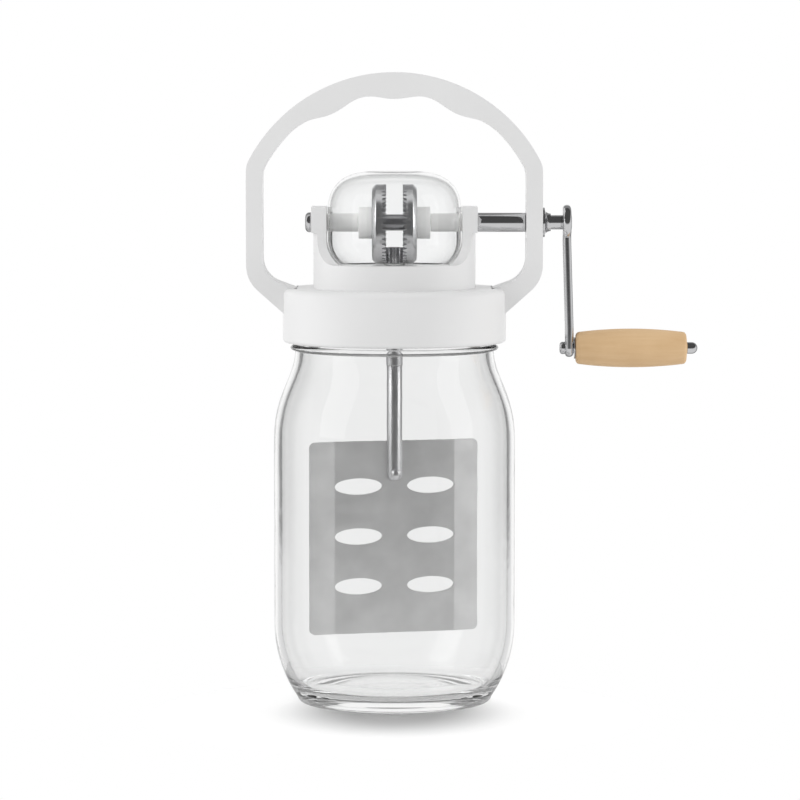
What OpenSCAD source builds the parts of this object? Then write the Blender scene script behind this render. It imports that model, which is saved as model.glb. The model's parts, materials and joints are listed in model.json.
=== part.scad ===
// Glass jar butter churn: a crank drives two crown gears, a pinion and a perforated dasher plate.
// Millimetres, +Z up, origin on the jar's axis at its foot, crank on the +X side, front towards -Y.

/* [Jar] */
// Outer diameter of the jar's body
jar_d = 100; // [94:1:108]
// Height of the jar from its foot to its rim
jar_h = 167; // [160:1:185]
// Glass thickness of the body
jar_wall = 3; // [2.4:0.1:4]
// Glass thickness at the middle of the floor, measured from the table
jar_floor = 6; // [5:0.5:8]
// Outer diameter of the neck between its threads
neck_d = 82.4; // [80:0.2:85]
// Glass thickness of the neck
neck_wall = 3.2; // [2.6:0.1:4]
// Height of the neck from the top of the bead to the rim
neck_h = 18.3; // [17:0.1:22]
// Height of the bead under the lid
bead_h = 2.7; // [1.6:0.1:3]
// How far the bead stands out of the neck
bead_out = 1.9; // [1:0.1:2]
// Height of the shoulder
shoulder_h = 41; // [30:1:50]
// Power that moves the shoulder's steepest part towards the neck
shoulder_bias = 1.48; // [1:0.02:2]
// Height of the rounded heel
heel_h = 33; // [25:1:40]
// How far the heel draws in at the foot
heel_in = 9.65; // [6:0.05:12]
// How far the hollow's wall draws in at its floor
hollow_heel_in = 8; // [6:0.5:14]
// Round between the hollow's wall and its floor
hollow_round = 8; // [4:0.5:12]
// Height of the small round between heel and foot
foot_h = 2; // [1:0.1:3]
// Width of the small round between heel and foot
foot_round = 2.75; // [1.5:0.05:4]
// Width of the ring that the jar stands on
foot_ring_w = 4; // [3:0.1:6]
// Rise of the hollow underside
push_up = 2.2; // [1:0.1:3]
// Radius of the rim's edges
rim_r = 1.2; // [0.6:0.1:1.4]

/* [Screw thread] */
// Rise of the thread in one turn
thread_pitch = 6.35; // [6:0.05:7]
// Angle that each thread wraps round
thread_wrap = 450; // [360:10:480]
// Height of the jar's thread above the neck
jar_thread_out = 1.6; // [1.2:0.1:1.8]
// Height of the lid's thread above its wall
lid_thread_in = 1.8; // [1.4:0.1:1.9]
// Width of the jar's thread at its root
jar_thread_w = 3.2; // [2.6:0.1:3.4]
// Width of the lid's thread at its root
lid_thread_w = 2.2; // [1.8:0.1:2.4]
// Width of either thread's crest as a share of its root
thread_crest_share = 0.5; // [0.4:0.05:0.6]
// Clearance between the flanks of the two threads
thread_flank_gap = 0.3; // [0.2:0.05:0.5]
// Radial clearance outside the jar's thread
thread_gap = 0.9; // [0.6:0.1:1.2]
// Distance from the rim to the middle of the thread's top end
thread_top = 4; // [3.5:0.1:5]

/* [Lid] */
// Wall of the lid's skirt
lid_wall = 2.5; // [2.3:0.1:3.5]
// Thickness of the lid's top
lid_deck_t = 3; // [2.5:0.1:4]
// Radius of the lid's upper edge
lid_top_r = 2.5; // [1:0.1:3]
// Radius of the lid's lower edge
lid_low_r = 1.6; // [0.5:0.1:2]
// Clearance between the lid and the bead
lid_bead_gap = 0.8; // [0.3:0.1:1]
// Thickness of the sealing ring
gasket_t = 2; // [1.5:0.1:3]
// How far the sealing ring reaches past the rim on each side
gasket_over = 0.9; // [0.5:0.1:1.4]

/* [Gear housing] */
// Diameter of the housing's drum
drum_d = 67; // [65:0.5:70]
// Height of the drum's deck above the lid
drum_h = 10; // [9:0.5:14]
// Thickness of the drum's wall and deck
drum_wall = 3; // [2.5:0.1:4]
// Width of the yoke from front to back
yoke_depth = 21.4; // [18:0.2:24]
// Radius between the yoke's faces and the deck
yoke_fillet = 13; // [8:0.5:13]
// Thickness of each ear along the shaft
ear_t = 6.25; // [5:0.25:8]
// Rise of the ears above the shaft's axis
ear_rise = 6.5; // [6:0.25:8]
// Drop of the ears' square heads below the shaft's axis
ear_drop = 4; // [3:0.25:6]
// Diameter of the housing screws' shanks
screw_d = 3; // [2.5:0.1:4]
// Diameter of the housing screws' heads
screw_head_d = 6; // [5:0.1:7]
// Height of the housing screws' heads
screw_head_h = 1.8; // [1.4:0.1:2.4]
// Distance of the housing screws from the axis
screw_pcr = 24; // [22:0.5:25]
// Diameter of the bosses that the screws grip
boss_d = 8; // [7:0.5:9]

/* [Gear cover] */
// Diameter of the clear dome
cover_d = 55.4; // [53:0.2:58]
// Height of the clear dome above the deck
cover_h = 38.4; // [36:0.2:42]
// Thickness of the clear dome
cover_wall = 2.2; // [1.6:0.1:2.6]
// Height of the dome's crown above its straight wall
cover_crown_h = 20.4; // [15:0.2:24]
// Power of the crown's curve, where 2 is an ellipse
cover_power = 3.2; // [2:0.1:4]
// Radius of the dome's lower edge
cover_low_r = 12; // [10.5:0.5:14]
// Height of the lower edge's centre above the deck
cover_low_h = 10; // [8:0.25:10.5]
// Width of the dome's two snap tabs
tab_w = 10; // [6:0.5:12]
// Length of the snap tabs below the deck
tab_h = 2.4; // [1.5:0.1:2.4]

/* [Crown gears and pinion] */
// Outer diameter of the crown gears
gear_d = 33; // [32.4:0.1:34]
// Clearance between the gears and the deck
gear_floor_gap = 0.5; // [0.4:0.1:1]
// Teeth on each crown gear
gear_teeth = 48; // [40, 48]
// Height of the pinion's teeth above their pitch circle
pinion_addendum = 0.55; // [0.45:0.01:0.6]
// Depth of the pinion's teeth below their pitch circle
pinion_dedendum = 0.65; // [0.6:0.01:0.7]
// Width of the pinion's teeth at the root
pinion_root_w = 1.05; // [0.9:0.01:1.08]
// Width of the pinion's teeth at the tip
pinion_tip_w = 0.45; // [0.35:0.01:0.48]
// Height of the pinion
pinion_h = 6.8; // [4:0.1:8]
// Width of the crown teeth at the root
crown_root_w = 0.95; // [0.8:0.01:1]
// Width of the crown teeth at the tip
crown_tip_w = 0.45; // [0.35:0.01:0.48]
// Length of the crown teeth along the radius
crown_tooth_l = 2; // [1.5:0.1:2.1]
// Clearance between tooth tips and the roots that they reach into
mesh_gap = 0.25; // [0.2:0.01:0.4]
// Thickness of the crown gears behind their teeth
gear_t = 4.55; // [3.5:0.05:5]
// Depth of the dish in each crown gear's face
gear_dish = 1.5; // [1:0.1:2]
// Width of the crown gears' rim outside their teeth
gear_rim = 0.1; // [0.1:0.05:0.4]
// Width of the crown gears' rim inside their teeth
gear_inner_rim = 0.8; // [0.4:0.1:1.2]
// Bevel round each crown gear's back
gear_bevel = 1.3; // [0.5:0.1:2]
// Diameter of the gear hubs
hub_d = 13; // [11:0.1:15]
// Length of the gear hubs
hub_l = 5.6; // [4:0.1:6.5]
// Diameter of the pin through the driving hub
hub_pin_d = 2; // [1.5:0.1:2.5]

/* [Crank] */
// Diameter of the crank shaft
shaft_d = 6; // [5:0.1:6.4]
// Outer diameter of the plastic sleeves on the shaft
sleeve_d = 7.4; // [7.2:0.1:8.2]
// Outer diameter of the sleeve between the gears
gear_spacer_d = 7; // [6.8:0.1:9]
// Outer diameter of the steel tube outside the housing
tube_d = 8; // [7.4:0.1:8.8]
// Outer diameter of the bearing bushes
bush_d = 9; // [8:0.1:9.6]
// Diameter of the bell-shaped flange on the handle's outside
flange_d = 12.4; // [11:0.1:14]
// Diameter of the flange's neck
flange_neck_d = 7.4; // [7:0.1:8.4]
// Length of the flange
flange_l = 3.2; // [2.4:0.1:4.5]
// Thickness of the flange's rim
flange_rim = 0.7; // [0.4:0.1:1]
// Clear length of shaft between the handle and the crank arm
arm_gap = 8.3; // [6:0.1:12]
// Thickness of the crank arm
arm_t = 3.6; // [3:0.1:4.5]
// Width of the crank arm's blade
arm_w = 7.6; // [7:0.1:9]
// Diameter of the crank arm's upper eye
arm_top_d = 14.6; // [12:0.1:16]
// Diameter of the crank arm's lower eye
arm_low_d = 7.6; // [7:0.1:11]
// How far the arm leans out towards the grip
arm_lean = 1.1; // [0.4:0.1:2]
// Length of each of the arm's upright ends
arm_end = 8; // [7:0.5:12]
// Throw of the crank
crank_r = 52; // [45:0.5:60]
// Diameter of the end screw's head
end_screw_d = 8.4; // [7.5:0.1:10]
// Height of the end screw's domed head
end_screw_h = 2; // [1.5:0.1:3]
// Diameter of the end screw's shank
end_shank_d = 3; // [2.5:0.1:3.5]
// Length of the end screw's shank
end_shank_l = 10; // [6:0.5:14]
// Thickness of the washer under the end screw
end_washer_t = 0.5; // [0.4:0.1:1]

/* [Grip] */
// Length of the wooden grip
grip_l = 45.8; // [38:0.2:54]
// Diameter of the wooden grip at its middle
grip_d = 16; // [14:0.1:18]
// Diameter of the wooden grip at its ends
grip_end_d = 13; // [11:0.1:14]
// Radius of the wooden grip's end edges
grip_edge_r = 1.2; // [0.5:0.1:2]
// Diameter of the pin that the grip turns on
pin_d = 4; // [3.5:0.1:4.2]
// Diameter of the pin's rivet head
pin_head_d = 5.2; // [5:0.1:6.5]
// Height of the pin's rivet head
pin_head_h = 2.2; // [1.5:0.1:3]
// Diameter of the domed cap that keeps the grip on
cap_d = 4.9; // [4.7:0.1:6]
// Length of the domed cap
cap_l = 4.5; // [3.5:0.1:6]
// Diameter of the washer beside the grip
grip_washer_d = 9; // [7:0.1:11]
// Thickness of the washer beside the grip
grip_washer_t = 0.5; // [0.4:0.1:1]

/* [Carry handle] */
// Width of the handle over its legs
handle_w = 122.2; // [118:0.2:130]
// Rise of the handle's top above the lid
handle_rise = 88.8; // [84:0.2:100]
// Radius of the handle's arch on its outside
arch_r = 67.8; // [65:0.2:75]
// Width of the handle from front to back
handle_depth = 16; // [12:0.5:20]
// Thickness of the legs
leg_t = 6.8; // [6:0.1:8]
// Thickness of the arch at its shoulders
arch_t = 7.1; // [6.5:0.1:8.5]
// Extra thickness of the hand hold
hold_t = 2.8; // [1:0.1:4]
// Height of the finger waves on the hand hold
wave_h = 1.1; // [0.4:0.1:1.6]
// Angle of the arch that one finger wave takes
wave_angle = 26; // [20:1:30]
// Slope of the feet's outside
foot_slope = 41.7; // [36:0.1:48]
// Slope of the feet's inside
toe_slope = 19.7; // [14:0.1:25]
// Depth of the feet's outside on the lid's wall, below the lid's top
foot_drop = 9.9; // [9:0.1:13]
// Reach of the feet's toes in from the lid's wall
toe_reach = 6.1; // [5:0.1:7.5]
// Radius of the legs' lower outside bend
leg_out_r = 14; // [8:0.5:16]
// Radius of the legs' lower inside bend
leg_in_r = 10.5; // [6:0.5:12]
// Width of the tongues that hold the feet in the lid's wall
tongue_w = 10; // [6:0.5:12]
// Height of the tongues
tongue_h = 3; // [2:0.1:3]
// Depth of the tongues in the lid's wall
tongue_l = 1.6; // [1:0.1:1.6]

/* [Dasher] */
// Diameter of the drive spindle
spindle_d = 4; // [3.5:0.1:4.2]
// Outer diameter of the spindle's bush
spindle_bush_d = 9; // [8:0.1:10]
// Diameter of the spindle bush's flange
spindle_flange_d = 13; // [11:0.1:14]
// Thickness of the spindle bush's flange
spindle_flange_t = 1.5; // [1:0.1:2]
// Reach of the spindle's bush below the lid's top
bush_below = 1.5; // [1:0.1:2.5]
// Outer diameter of the seal round the spindle
seal_d = 10; // [8.5:0.1:11]
// Height of the seal round the spindle
seal_h = 2; // [1.5:0.1:3]
// Outer diameter of the sleeve that joins spindle and rod
sleeve_out_d = 6.8; // [6.6:0.1:8]
// Length of the sleeve that joins spindle and rod
sleeve_l = 25.3; // [18:0.1:32]
// Diameter of the dasher's rod
rod_d = 6.4; // [6:0.1:7]
// Reach of the rod down the plate from its upper edge
rod_overlap = 16.5; // [12:0.5:20]
// Radius of the rod's lower edge
rod_end_r = 1.4; // [0.5:0.1:1.8]
// Width of the dasher plate along its face
plate_w = 73; // [66:0.2:74]
// Height of the dasher plate
plate_h = 80; // [76:0.5:84]
// Thickness of the dasher plate
plate_t = 1.2; // [1:0.1:1.5]
// Height of the plate's lower edge above the table
plate_z = 28.5; // [27:0.5:32]
// Radius of the plate's corners
plate_corner_r = 2.4; // [1:0.1:4]
// Width of each side wing of the plate
wing_w = 11; // [8:0.2:12]
// Angle that the side wings bend, the right one back and the left one forward
wing_bend = 10; // [5:1:16]
// Turn of the plate about the jar's axis at rest
plate_turn = 14; // [8:1:20]
// Width of the plate's holes
hole_w = 20; // [16:0.2:22]
// Height of the plate's holes
hole_h = 6.8; // [5:0.1:8]
// Distance of each column of holes from the plate's middle
hole_column = 15.4; // [14.5:0.1:16]
// Distance between rows of holes
hole_pitch = 20.8; // [18:0.2:22]
// Rows of holes
hole_rows = 3; // [3]
// Height of the middle row above the plate's lower edge
hole_mid_up = 40.5; // [36:0.5:42]
// Diameter of the rivet's shank
rivet_d = 2.6; // [2:0.1:3]
// Diameter of the rivet's heads
rivet_head_d = 4.4; // [3.6:0.1:5]
// Height of the rivet's heads
rivet_head_h = 1; // [0.6:0.1:1.4]
// Height of the rivet above the rod's lower end
rivet_up = 3; // [2.6:0.1:5]

/* [Fits] */
// Radial clearance of pieces that turn on one another
run_gap = 0.05; // [0.03:0.01:0.1]
// Clearance of pieces that are pressed or pinned together
press_gap = 0.02; // [0.01:0.01:0.05]
// End clearance between pieces that turn past one another
end_gap = 0.2; // [0.15:0.05:0.4]
// Clearance between the cover and the ears
cover_gap = 0.25; // [0.2:0.05:0.4]
// Clearance of the sleeves in the cover's slots
slot_gap = 0.6; // [0.4:0.1:1]

/* [Hidden] */
$fn = 96;
// Overlap that joins pieces of one solid and opens cuts
lap = 0.5;
// Turns of the pinion for one turn of a crown gear
gear_ratio = 4;
// Steps along a curved outline
curve_steps = 16;
// Angle of one step along a thread
thread_step = 15;
// Angle over which a thread's ends fade out
thread_fade = 30;
// Sharpness of the bend between the handle's arch and legs
arch_blend = 150;
// Arch angles between which the hand hold swells and its waves fade
hold_from = 45;
hold_to = 30;

// Heights, from the table up
jar_r = jar_d / 2;
neck_r = neck_d / 2;
mouth_r = neck_r - neck_wall;
bead_z = jar_h - neck_h;
shoulder_top = bead_z - bead_h;
lid_low = bead_z + lid_bead_gap;
lid_under = jar_h + gasket_t;
lid_top = lid_under + lid_deck_t;
deck_z = lid_top + drum_h;
shaft_z = deck_z + gear_floor_gap + gear_d / 2;
grip_z = shaft_z - crank_r;
cover_top = deck_z + cover_h;
cover_low_z = deck_z + cover_low_h;
ear_top = shaft_z + ear_rise;
handle_top = lid_top + handle_rise;
arch_z = handle_top - arch_r;

// Lid and housing radii
lid_in_r = neck_r + jar_thread_out + thread_gap;
lid_r = lid_in_r + lid_wall;
drum_r = drum_d / 2;
cover_rim_r = cover_d / 2 - cover_low_r + sqrt(pow(cover_low_r, 2) - pow(cover_low_h, 2));
yoke_y = yoke_depth / 2;

// Crown teeth and the pinion that rolls on their middle
crown_out_r = gear_d / 2 - gear_rim;
crown_in_r = crown_out_r - crown_tooth_l;
dish_r = crown_in_r - gear_inner_rim;
pinion_teeth = gear_teeth / gear_ratio;
pinion_pitch_r = (crown_out_r + crown_in_r) / 2 / gear_ratio;
pinion_root_r = pinion_pitch_r - pinion_dedendum;
pinion_tip_r = pinion_pitch_r + pinion_addendum;

// Places along the shaft, out from the middle
gear_tip_x = pinion_root_r + mesh_gap;
gear_face_x = pinion_tip_r + mesh_gap;
gear_back_x = gear_face_x + gear_t;
gear_web_x = gear_face_x + gear_dish;
hub_end_x = gear_back_x + hub_l;
ear_in_x = cover_d / 2 + cover_gap;
ear_out_x = ear_in_x + ear_t;
leg_out_x = handle_w / 2;
leg_in_x = leg_out_x - leg_t;
arm_x = leg_out_x + arm_gap;
arm_low_x = arm_x + arm_lean;
grip_washer_x = arm_low_x + arm_t + end_gap;
grip_x = grip_washer_x + grip_washer_t + end_gap;
cap_x = grip_x + grip_l + end_gap;

// Spindle, rod and plate heights
thrust_t = gear_d / 2 + gear_floor_gap - crown_out_r;
pinion_z = deck_z + thrust_t;
spindle_top = pinion_z + pinion_h;
bush_low = lid_under - bush_below;
seal_low = bush_low - seal_h;
sleeve_top = seal_low - end_gap;
sleeve_low = sleeve_top - sleeve_l;
sleeve_mid = (sleeve_top + sleeve_low) / 2;
plate_top = plate_z + plate_h;
rod_z = plate_top - rod_overlap;
rivet_z = rod_z + rivet_up;

// Points of an arc
function arc(centre, radius, from, to) = [
    for (i = [0:curve_steps])
        let (a = from + (to - from) * i / curve_steps)
            centre + radius * [cos(a), sin(a)]
];

// Radius of an upright arc that draws a wall in by "inset" over a height
function heel_radius(height, inset) = (height * height + inset * inset) / (2 * inset);

// Wall points of a heel from height "low" up to the straight wall at heel_h
function heel_points(wide, inset, low) = [
    for (i = [0:curve_steps])
        let (z = low + (heel_h - low) * i / curve_steps)
        let (rad = heel_radius(heel_h - low, inset))
            [wide - rad + sqrt(rad * rad - pow(heel_h - z, 2)), z]
];

// Wall points of the shoulder, from the straight wall up to the neck
function shoulder_points(wide, narrow) = [
    for (i = [0:curve_steps])
        let (s = i / curve_steps)
            [wide - (wide - narrow) * (1 - cos(180 * pow(s, shoulder_bias))) / 2,
             shoulder_top - shoulder_h * (1 - s)]
];

function reversed(points) = [for (i = [len(points) - 1:-1:0]) points[i]];

// Turn a shape made along +Z so that it lies along +X
module along_x() {
    rotate([0, 90, 0]) children();
}

// Round bar or tube along the shaft's line
module shaft_ring(x0, x1, out_r, in_r = 0, z = shaft_z) {
    translate([x0, 0, z]) along_x() difference() {
        cylinder(h = x1 - x0, r = out_r);
        if (in_r > 0) translate([0, 0, -lap]) cylinder(h = x1 - x0 + 2 * lap, r = in_r);
    }
}

// Upright tube on the jar's axis
module axis_ring(z0, z1, out_r, in_r) {
    translate([0, 0, z0]) difference() {
        cylinder(h = z1 - z0, r = out_r);
        translate([0, 0, -lap]) cylinder(h = z1 - z0 + 2 * lap, r = in_r);
    }
}

// One ring of a thread's section, with its root sunk into the wall and its ends faded out
function thread_ring(a, wall_r, crest_r, root_w, z0) =
    let (fade = min(1, a / thread_fade, (thread_wrap - a) / thread_fade))
    let (side = sign(crest_r - wall_r))
    let (base = wall_r - side * lap)
    let (crest = wall_r + (crest_r - wall_r) * fade - side * lap / 2 * (1 - fade))
    let (half = root_w / 2)
    let (tip = half * thread_crest_share)
    let (z = z0 + thread_pitch * a / 360)
    let (section = side > 0
        ? [[base, z - half], [crest, z - tip], [crest, z + tip], [base, z + half]]
        : [[crest, z - tip], [base, z - half], [base, z + half], [crest, z + tip]])
    [for (p = section) [p[0] * cos(a), p[0] * sin(a), p[1]]];

// Right-hand thread on a round wall, rising from z0
module thread(wall_r, crest_r, root_w, z0) {
    steps = thread_wrap / thread_step;
    points = [for (i = [0:steps]) each thread_ring(i * thread_step, wall_r, crest_r, root_w, z0)];
    sides = [
        for (i = [0:steps - 1], j = [0:3])
            let (a = 4 * i + j)
            let (b = 4 * i + (j + 1) % 4)
            each [[a, b, b + 4], [a, b + 4, a + 4]]
    ];
    last = 4 * steps;
    ends = [[2, 1, 0], [3, 2, 0], [last, last + 1, last + 2], [last, last + 2, last + 3]];
    polyhedron(points, concat(sides, ends));
}

// Heights of the two threads' lower ends: the lid's thread hangs under the jar's
jar_thread_z = jar_h - thread_top - thread_pitch * thread_wrap / 360;
jar_thread_half = jar_thread_w / 2 * (1 + thread_crest_share) / 2;
lid_thread_half = lid_thread_w / 2 * (1 + thread_crest_share) / 2;
lid_thread_z = jar_thread_z - jar_thread_half - lid_thread_half - thread_flank_gap;

// Section of the jar's outside, from the middle of its foot to its rim
function jar_outside() =
    let (foot_r = jar_r - heel_in - foot_round)
    let (ring_r = foot_r - foot_ring_w)
    concat(
        [for (i = [0:curve_steps / 2])
            let (s = 2 * i / curve_steps)
                [ring_r * s, push_up * (1 - s * s)]],
        [for (i = [0:curve_steps / 4 - 1])
            let (a = 90 * 4 * i / curve_steps)
                [foot_r + foot_round * sin(a), foot_h * (1 - cos(a))]],
        heel_points(jar_r, heel_in, foot_h),
        shoulder_points(jar_r, neck_r),
        [for (i = [1:curve_steps - 1])
            let (a = 180 * i / curve_steps)
                [neck_r + bead_out * sin(a), bead_z - bead_h / 2 * (1 + cos(a))]],
        [[neck_r, bead_z]],
        arc([neck_r - rim_r, jar_h - rim_r], rim_r, 0, 90)
    );

// Section of the jar's hollow, from its rim down to the middle of its floor
function jar_hollow() =
    let (heel = heel_points(jar_r - jar_wall, hollow_heel_in, jar_floor))
    let (round = bend(heel[4], heel[0], [0, jar_floor], hollow_round))
    concat(
        arc([mouth_r + rim_r, jar_h - rim_r], rim_r, 90, 180),
        reversed(shoulder_points(jar_r - jar_wall, mouth_r)),
        [for (p = reversed(heel)) if (p[1] > round[0][1] + lap) p],
        round,
        [[0, jar_floor]]
    );

module glass_jar() {
    color([0.9, 0.94, 0.94, 0.35]) union() {
        rotate_extrude() polygon(concat(jar_outside(), jar_hollow()));
        thread(neck_r, neck_r + jar_thread_out, jar_thread_w, jar_thread_z);
    }
}

module lid_gasket() {
    color("whitesmoke") axis_ring(jar_h, lid_under, neck_r + gasket_over, mouth_r - gasket_over);
}

// Outer section of the lid with its rounded edges, grown by a clearance
module lid_outline(grow = 0) {
    radius = lid_r + grow;
    translate([0, lid_low + lid_low_r]) square([radius, lid_top - lid_low - lid_low_r - lid_top_r]);
    translate([0, lid_low]) square([radius - lid_low_r, lid_top - lid_low - lid_top_r]);
    translate([0, lid_low + lid_low_r]) square([radius - lid_top_r, lid_top - lid_low - lid_low_r]);
    translate([radius - lid_low_r, lid_low + lid_low_r]) circle(lid_low_r);
    translate([radius - lid_top_r, lid_top - lid_top_r]) circle(lid_top_r);
}

// The two tongues of the handle's feet, or their pockets when grown by a clearance
module tongues(grow = 0) {
    z = lid_top - foot_drop + tongue_h;
    for (side = [0, 1]) mirror([side, 0, 0])
        translate([lid_r - tongue_l - grow, -tongue_w / 2 - grow, z - grow])
            cube([tongue_l + lap + grow, tongue_w + 2 * grow, tongue_h + 2 * grow]);
}

// Places of the housing screws
module at_screws() {
    for (a = [45:90:315]) rotate(a) translate([screw_pcr, 0, 0]) children();
}

module screw_lid() {
    color("white") difference() {
        union() {
            rotate_extrude() difference() {
                lid_outline();
                translate([0, lid_low - lap]) square([lid_in_r, lid_under - lid_low + lap]);
            }
            thread(lid_in_r, lid_in_r - lid_thread_in, lid_thread_w, lid_thread_z);
        }
        translate([0, 0, lid_under - lap])
            cylinder(h = lid_deck_t + 2 * lap, r = spindle_bush_d / 2 + press_gap);
        at_screws() translate([0, 0, lid_under - lap])
            cylinder(h = lid_deck_t + 2 * lap, r = screw_d / 2 + press_gap);
        tongues(press_gap);
    }
}

// Point where a line from "from" at a slope meets the upright line at x
function on_slope(from, slope, x) = [x, from[1] + (x - from[0]) * tan(slope)];

// Points of a round bend of a radius at a corner between two straight runs
function bend(before, corner, after, radius) =
    let (u = (before - corner) / norm(before - corner))
    let (v = (after - corner) / norm(after - corner))
    let (half = acos(u * v) / 2)
    let (centre = corner + (u + v) / norm(u + v) * radius / sin(half))
    let (p = corner + u * radius / tan(half) - centre)
    let (q = corner + v * radius / tan(half) - centre)
    let (from = atan2(p[1], p[0]))
    let (turn = ((atan2(q[1], q[0]) - from + 540) % 360) - 180)
    arc(centre, radius, from, from + turn);

// Swell of the hand hold at an angle from the top of the arch, from 0 to 1
function hold(a) =
    let (s = min(1, max(0, (hold_from - a) / (hold_from - hold_to))))
    s * s * (3 - 2 * s);

// Thickness of the arch at an angle from its top
function arch_thickness(a) = arch_t + hold(a) * (hold_t + wave_h * cos(360 * a / wave_angle));

// Half of an arched outline about the arch's centre, which runs down into a leg at leg_x
function arch_side(leg_x, low_z, inner) =
    let (last = 90 + atan((arch_z - low_z) / leg_x))
    let (steps = 4 * curve_steps)
    [for (i = [0:steps])
        let (a = last * i / steps)
        let (wide = inner ? arch_r - arch_thickness(a) : arch_r)
        let (radius = wide * pow(1 + pow(wide * sin(a) / leg_x, arch_blend), -1 / arch_blend))
            [radius * sin(a), arch_z + radius * cos(a)]];

// Right half of the handle's outside, from the top to the foot
function handle_outside() =
    let (foot = [lid_r, lid_top - foot_drop])
    let (corner = on_slope(foot, foot_slope, leg_out_x))
    let (low_z = corner[1] + leg_out_r * tan((90 - foot_slope) / 2))
    concat(
        arch_side(leg_out_x, low_z + lap, false),
        bend([leg_out_x, arch_z], corner, foot, leg_out_r),
        [on_slope(foot, foot_slope, lid_r - toe_reach)]
    );

// Right half of the handle's inside, from the top to the toe
function handle_inside() =
    let (toe = [lid_r - toe_reach, lid_top])
    let (corner = on_slope(toe, toe_slope, leg_in_x))
    let (low_z = corner[1] + leg_in_r * tan((90 - toe_slope) / 2))
    concat(
        arch_side(leg_in_x, low_z + lap, true),
        bend([leg_in_x, arch_z], corner, toe, leg_in_r),
        [toe]
    );

module carry_handle() {
    half = concat(handle_outside(), reversed(handle_inside()));
    color("white") {
        difference() {
            rotate([90, 0, 0]) linear_extrude(handle_depth, center = true) union() {
                polygon(half);
                mirror([1, 0]) polygon(half);
            }
            rotate_extrude() lid_outline(press_gap);
            shaft_ring(leg_in_x - lap, leg_out_x + lap, bush_d / 2 + press_gap);
        }
        tongues();
    }
}

// Section of the dome down to its lower edge's end, shrunk by its wall for its hollow
function cover_side(wall) =
    let (radius = cover_d / 2 - wall)
    let (crown = cover_crown_h - wall)
    concat(
        [for (i = [0:2 * curve_steps])
            let (a = 90 - 45 * i / curve_steps)
                [radius * pow(cos(a), 2 / cover_power),
                 cover_top - cover_crown_h + crown * pow(sin(a), 2 / cover_power)]],
        arc([cover_d / 2 - cover_low_r, cover_low_z], cover_low_r - wall, 0, -asin(cover_low_h / cover_low_r))
    );

// The dome's two snap tabs under its rim, or their slots when grown by a clearance
module cover_tabs(grow = 0) {
    intersection() {
        axis_ring(deck_z - tab_h - grow, deck_z + lap, cover_rim_r + grow, cover_rim_r - cover_wall - grow);
        cube([tab_w + 2 * grow, 2 * cover_d, 3 * deck_z], center = true);
    }
}

module gear_cover() {
    slot_r = sleeve_d / 2 + slot_gap;
    color([0.95, 0.97, 0.97, 0.3]) difference() {
        union() {
            rotate_extrude() polygon(concat(cover_side(0), [[0, deck_z]]));
            cover_tabs();
        }
        rotate_extrude() polygon(concat(cover_side(cover_wall), [[0, cover_low_z]]));
        translate([0, 0, deck_z - lap - tab_h])
            cylinder(h = cover_low_h + lap + tab_h, r = cover_rim_r - cover_wall);
        shaft_ring(-cover_d, cover_d, slot_r);
        translate([-cover_d, -slot_r, deck_z - lap]) cube([2 * cover_d, 2 * slot_r, shaft_z - deck_z + lap]);
    }
}

// Front outline of the gap between the ears, a clearance wider than the dome
module yoke_gap() {
    low_r = cover_low_r + cover_gap;
    intersection() {
        translate([-ear_in_x, deck_z]) square([2 * ear_in_x, ear_top]);
        union() {
            translate([-ear_in_x, cover_low_z]) square([2 * ear_in_x, ear_top]);
            translate([low_r - ear_in_x, cover_low_z - low_r]) square([2 * (ear_in_x - low_r), 2 * low_r]);
            for (side = [-1, 1]) translate([side * (ear_in_x - low_r), cover_low_z]) circle(low_r);
        }
    }
}

// Side outline of the yoke: a flat web that flares onto the deck
module yoke_end() {
    head_low = shaft_z - ear_drop;
    translate([-yoke_y, deck_z - lap]) square([yoke_depth, head_low - deck_z + 2 * lap]);
    for (side = [0, 1]) mirror([side, 0]) difference() {
        translate([yoke_y - lap, deck_z - lap]) square([yoke_fillet + lap, yoke_fillet + lap]);
        translate([yoke_y + yoke_fillet, deck_z + yoke_fillet]) circle(yoke_fillet);
    }
}

module gear_housing() {
    head_low = shaft_z - ear_drop;
    color("white") difference() {
        union() {
            translate([0, 0, lid_top]) cylinder(h = drum_h, r = drum_r);
            intersection() {
                translate([0, 0, lid_top]) cylinder(h = ear_top - lid_top, r = drum_r);
                rotate([90, 0, 90]) linear_extrude(3 * drum_d, center = true) yoke_end();
            }
            for (side = [0, 1]) mirror([side, 0, 0])
                translate([ear_in_x, -yoke_y, head_low]) cube([ear_t, yoke_depth, ear_top - head_low]);
        }
        rotate([90, 0, 0]) linear_extrude(3 * drum_d, center = true) yoke_gap();
        translate([0, 0, lid_top - lap]) difference() {
            cylinder(h = drum_h - drum_wall + lap, r = drum_r - drum_wall);
            cylinder(h = drum_h, r = spindle_flange_d / 2 + drum_wall / 2);
            at_screws() cylinder(h = drum_h, d = boss_d);
        }
        at_screws() translate([0, 0, lid_top - lap])
            cylinder(h = drum_h - drum_wall / 2, r = screw_d / 2 + press_gap);
        translate([0, 0, lid_top - lap]) cylinder(h = drum_h + 2 * lap, r = spindle_bush_d / 2 + press_gap);
        translate([0, 0, deck_z - spindle_flange_t])
            cylinder(h = spindle_flange_t + lap, r = spindle_flange_d / 2 + press_gap);
        cover_tabs(press_gap);
        shaft_ring(-ear_out_x - lap, ear_out_x + lap, bush_d / 2 + press_gap);
    }
}

module housing_screws() {
    color("silver") at_screws() {
        translate([0, 0, lid_under - screw_head_h]) cylinder(h = screw_head_h, d = screw_head_d);
        translate([0, 0, lid_under - lap])
            cylinder(h = lid_deck_t + drum_h - drum_wall + lap, d = screw_d);
    }
}

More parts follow.
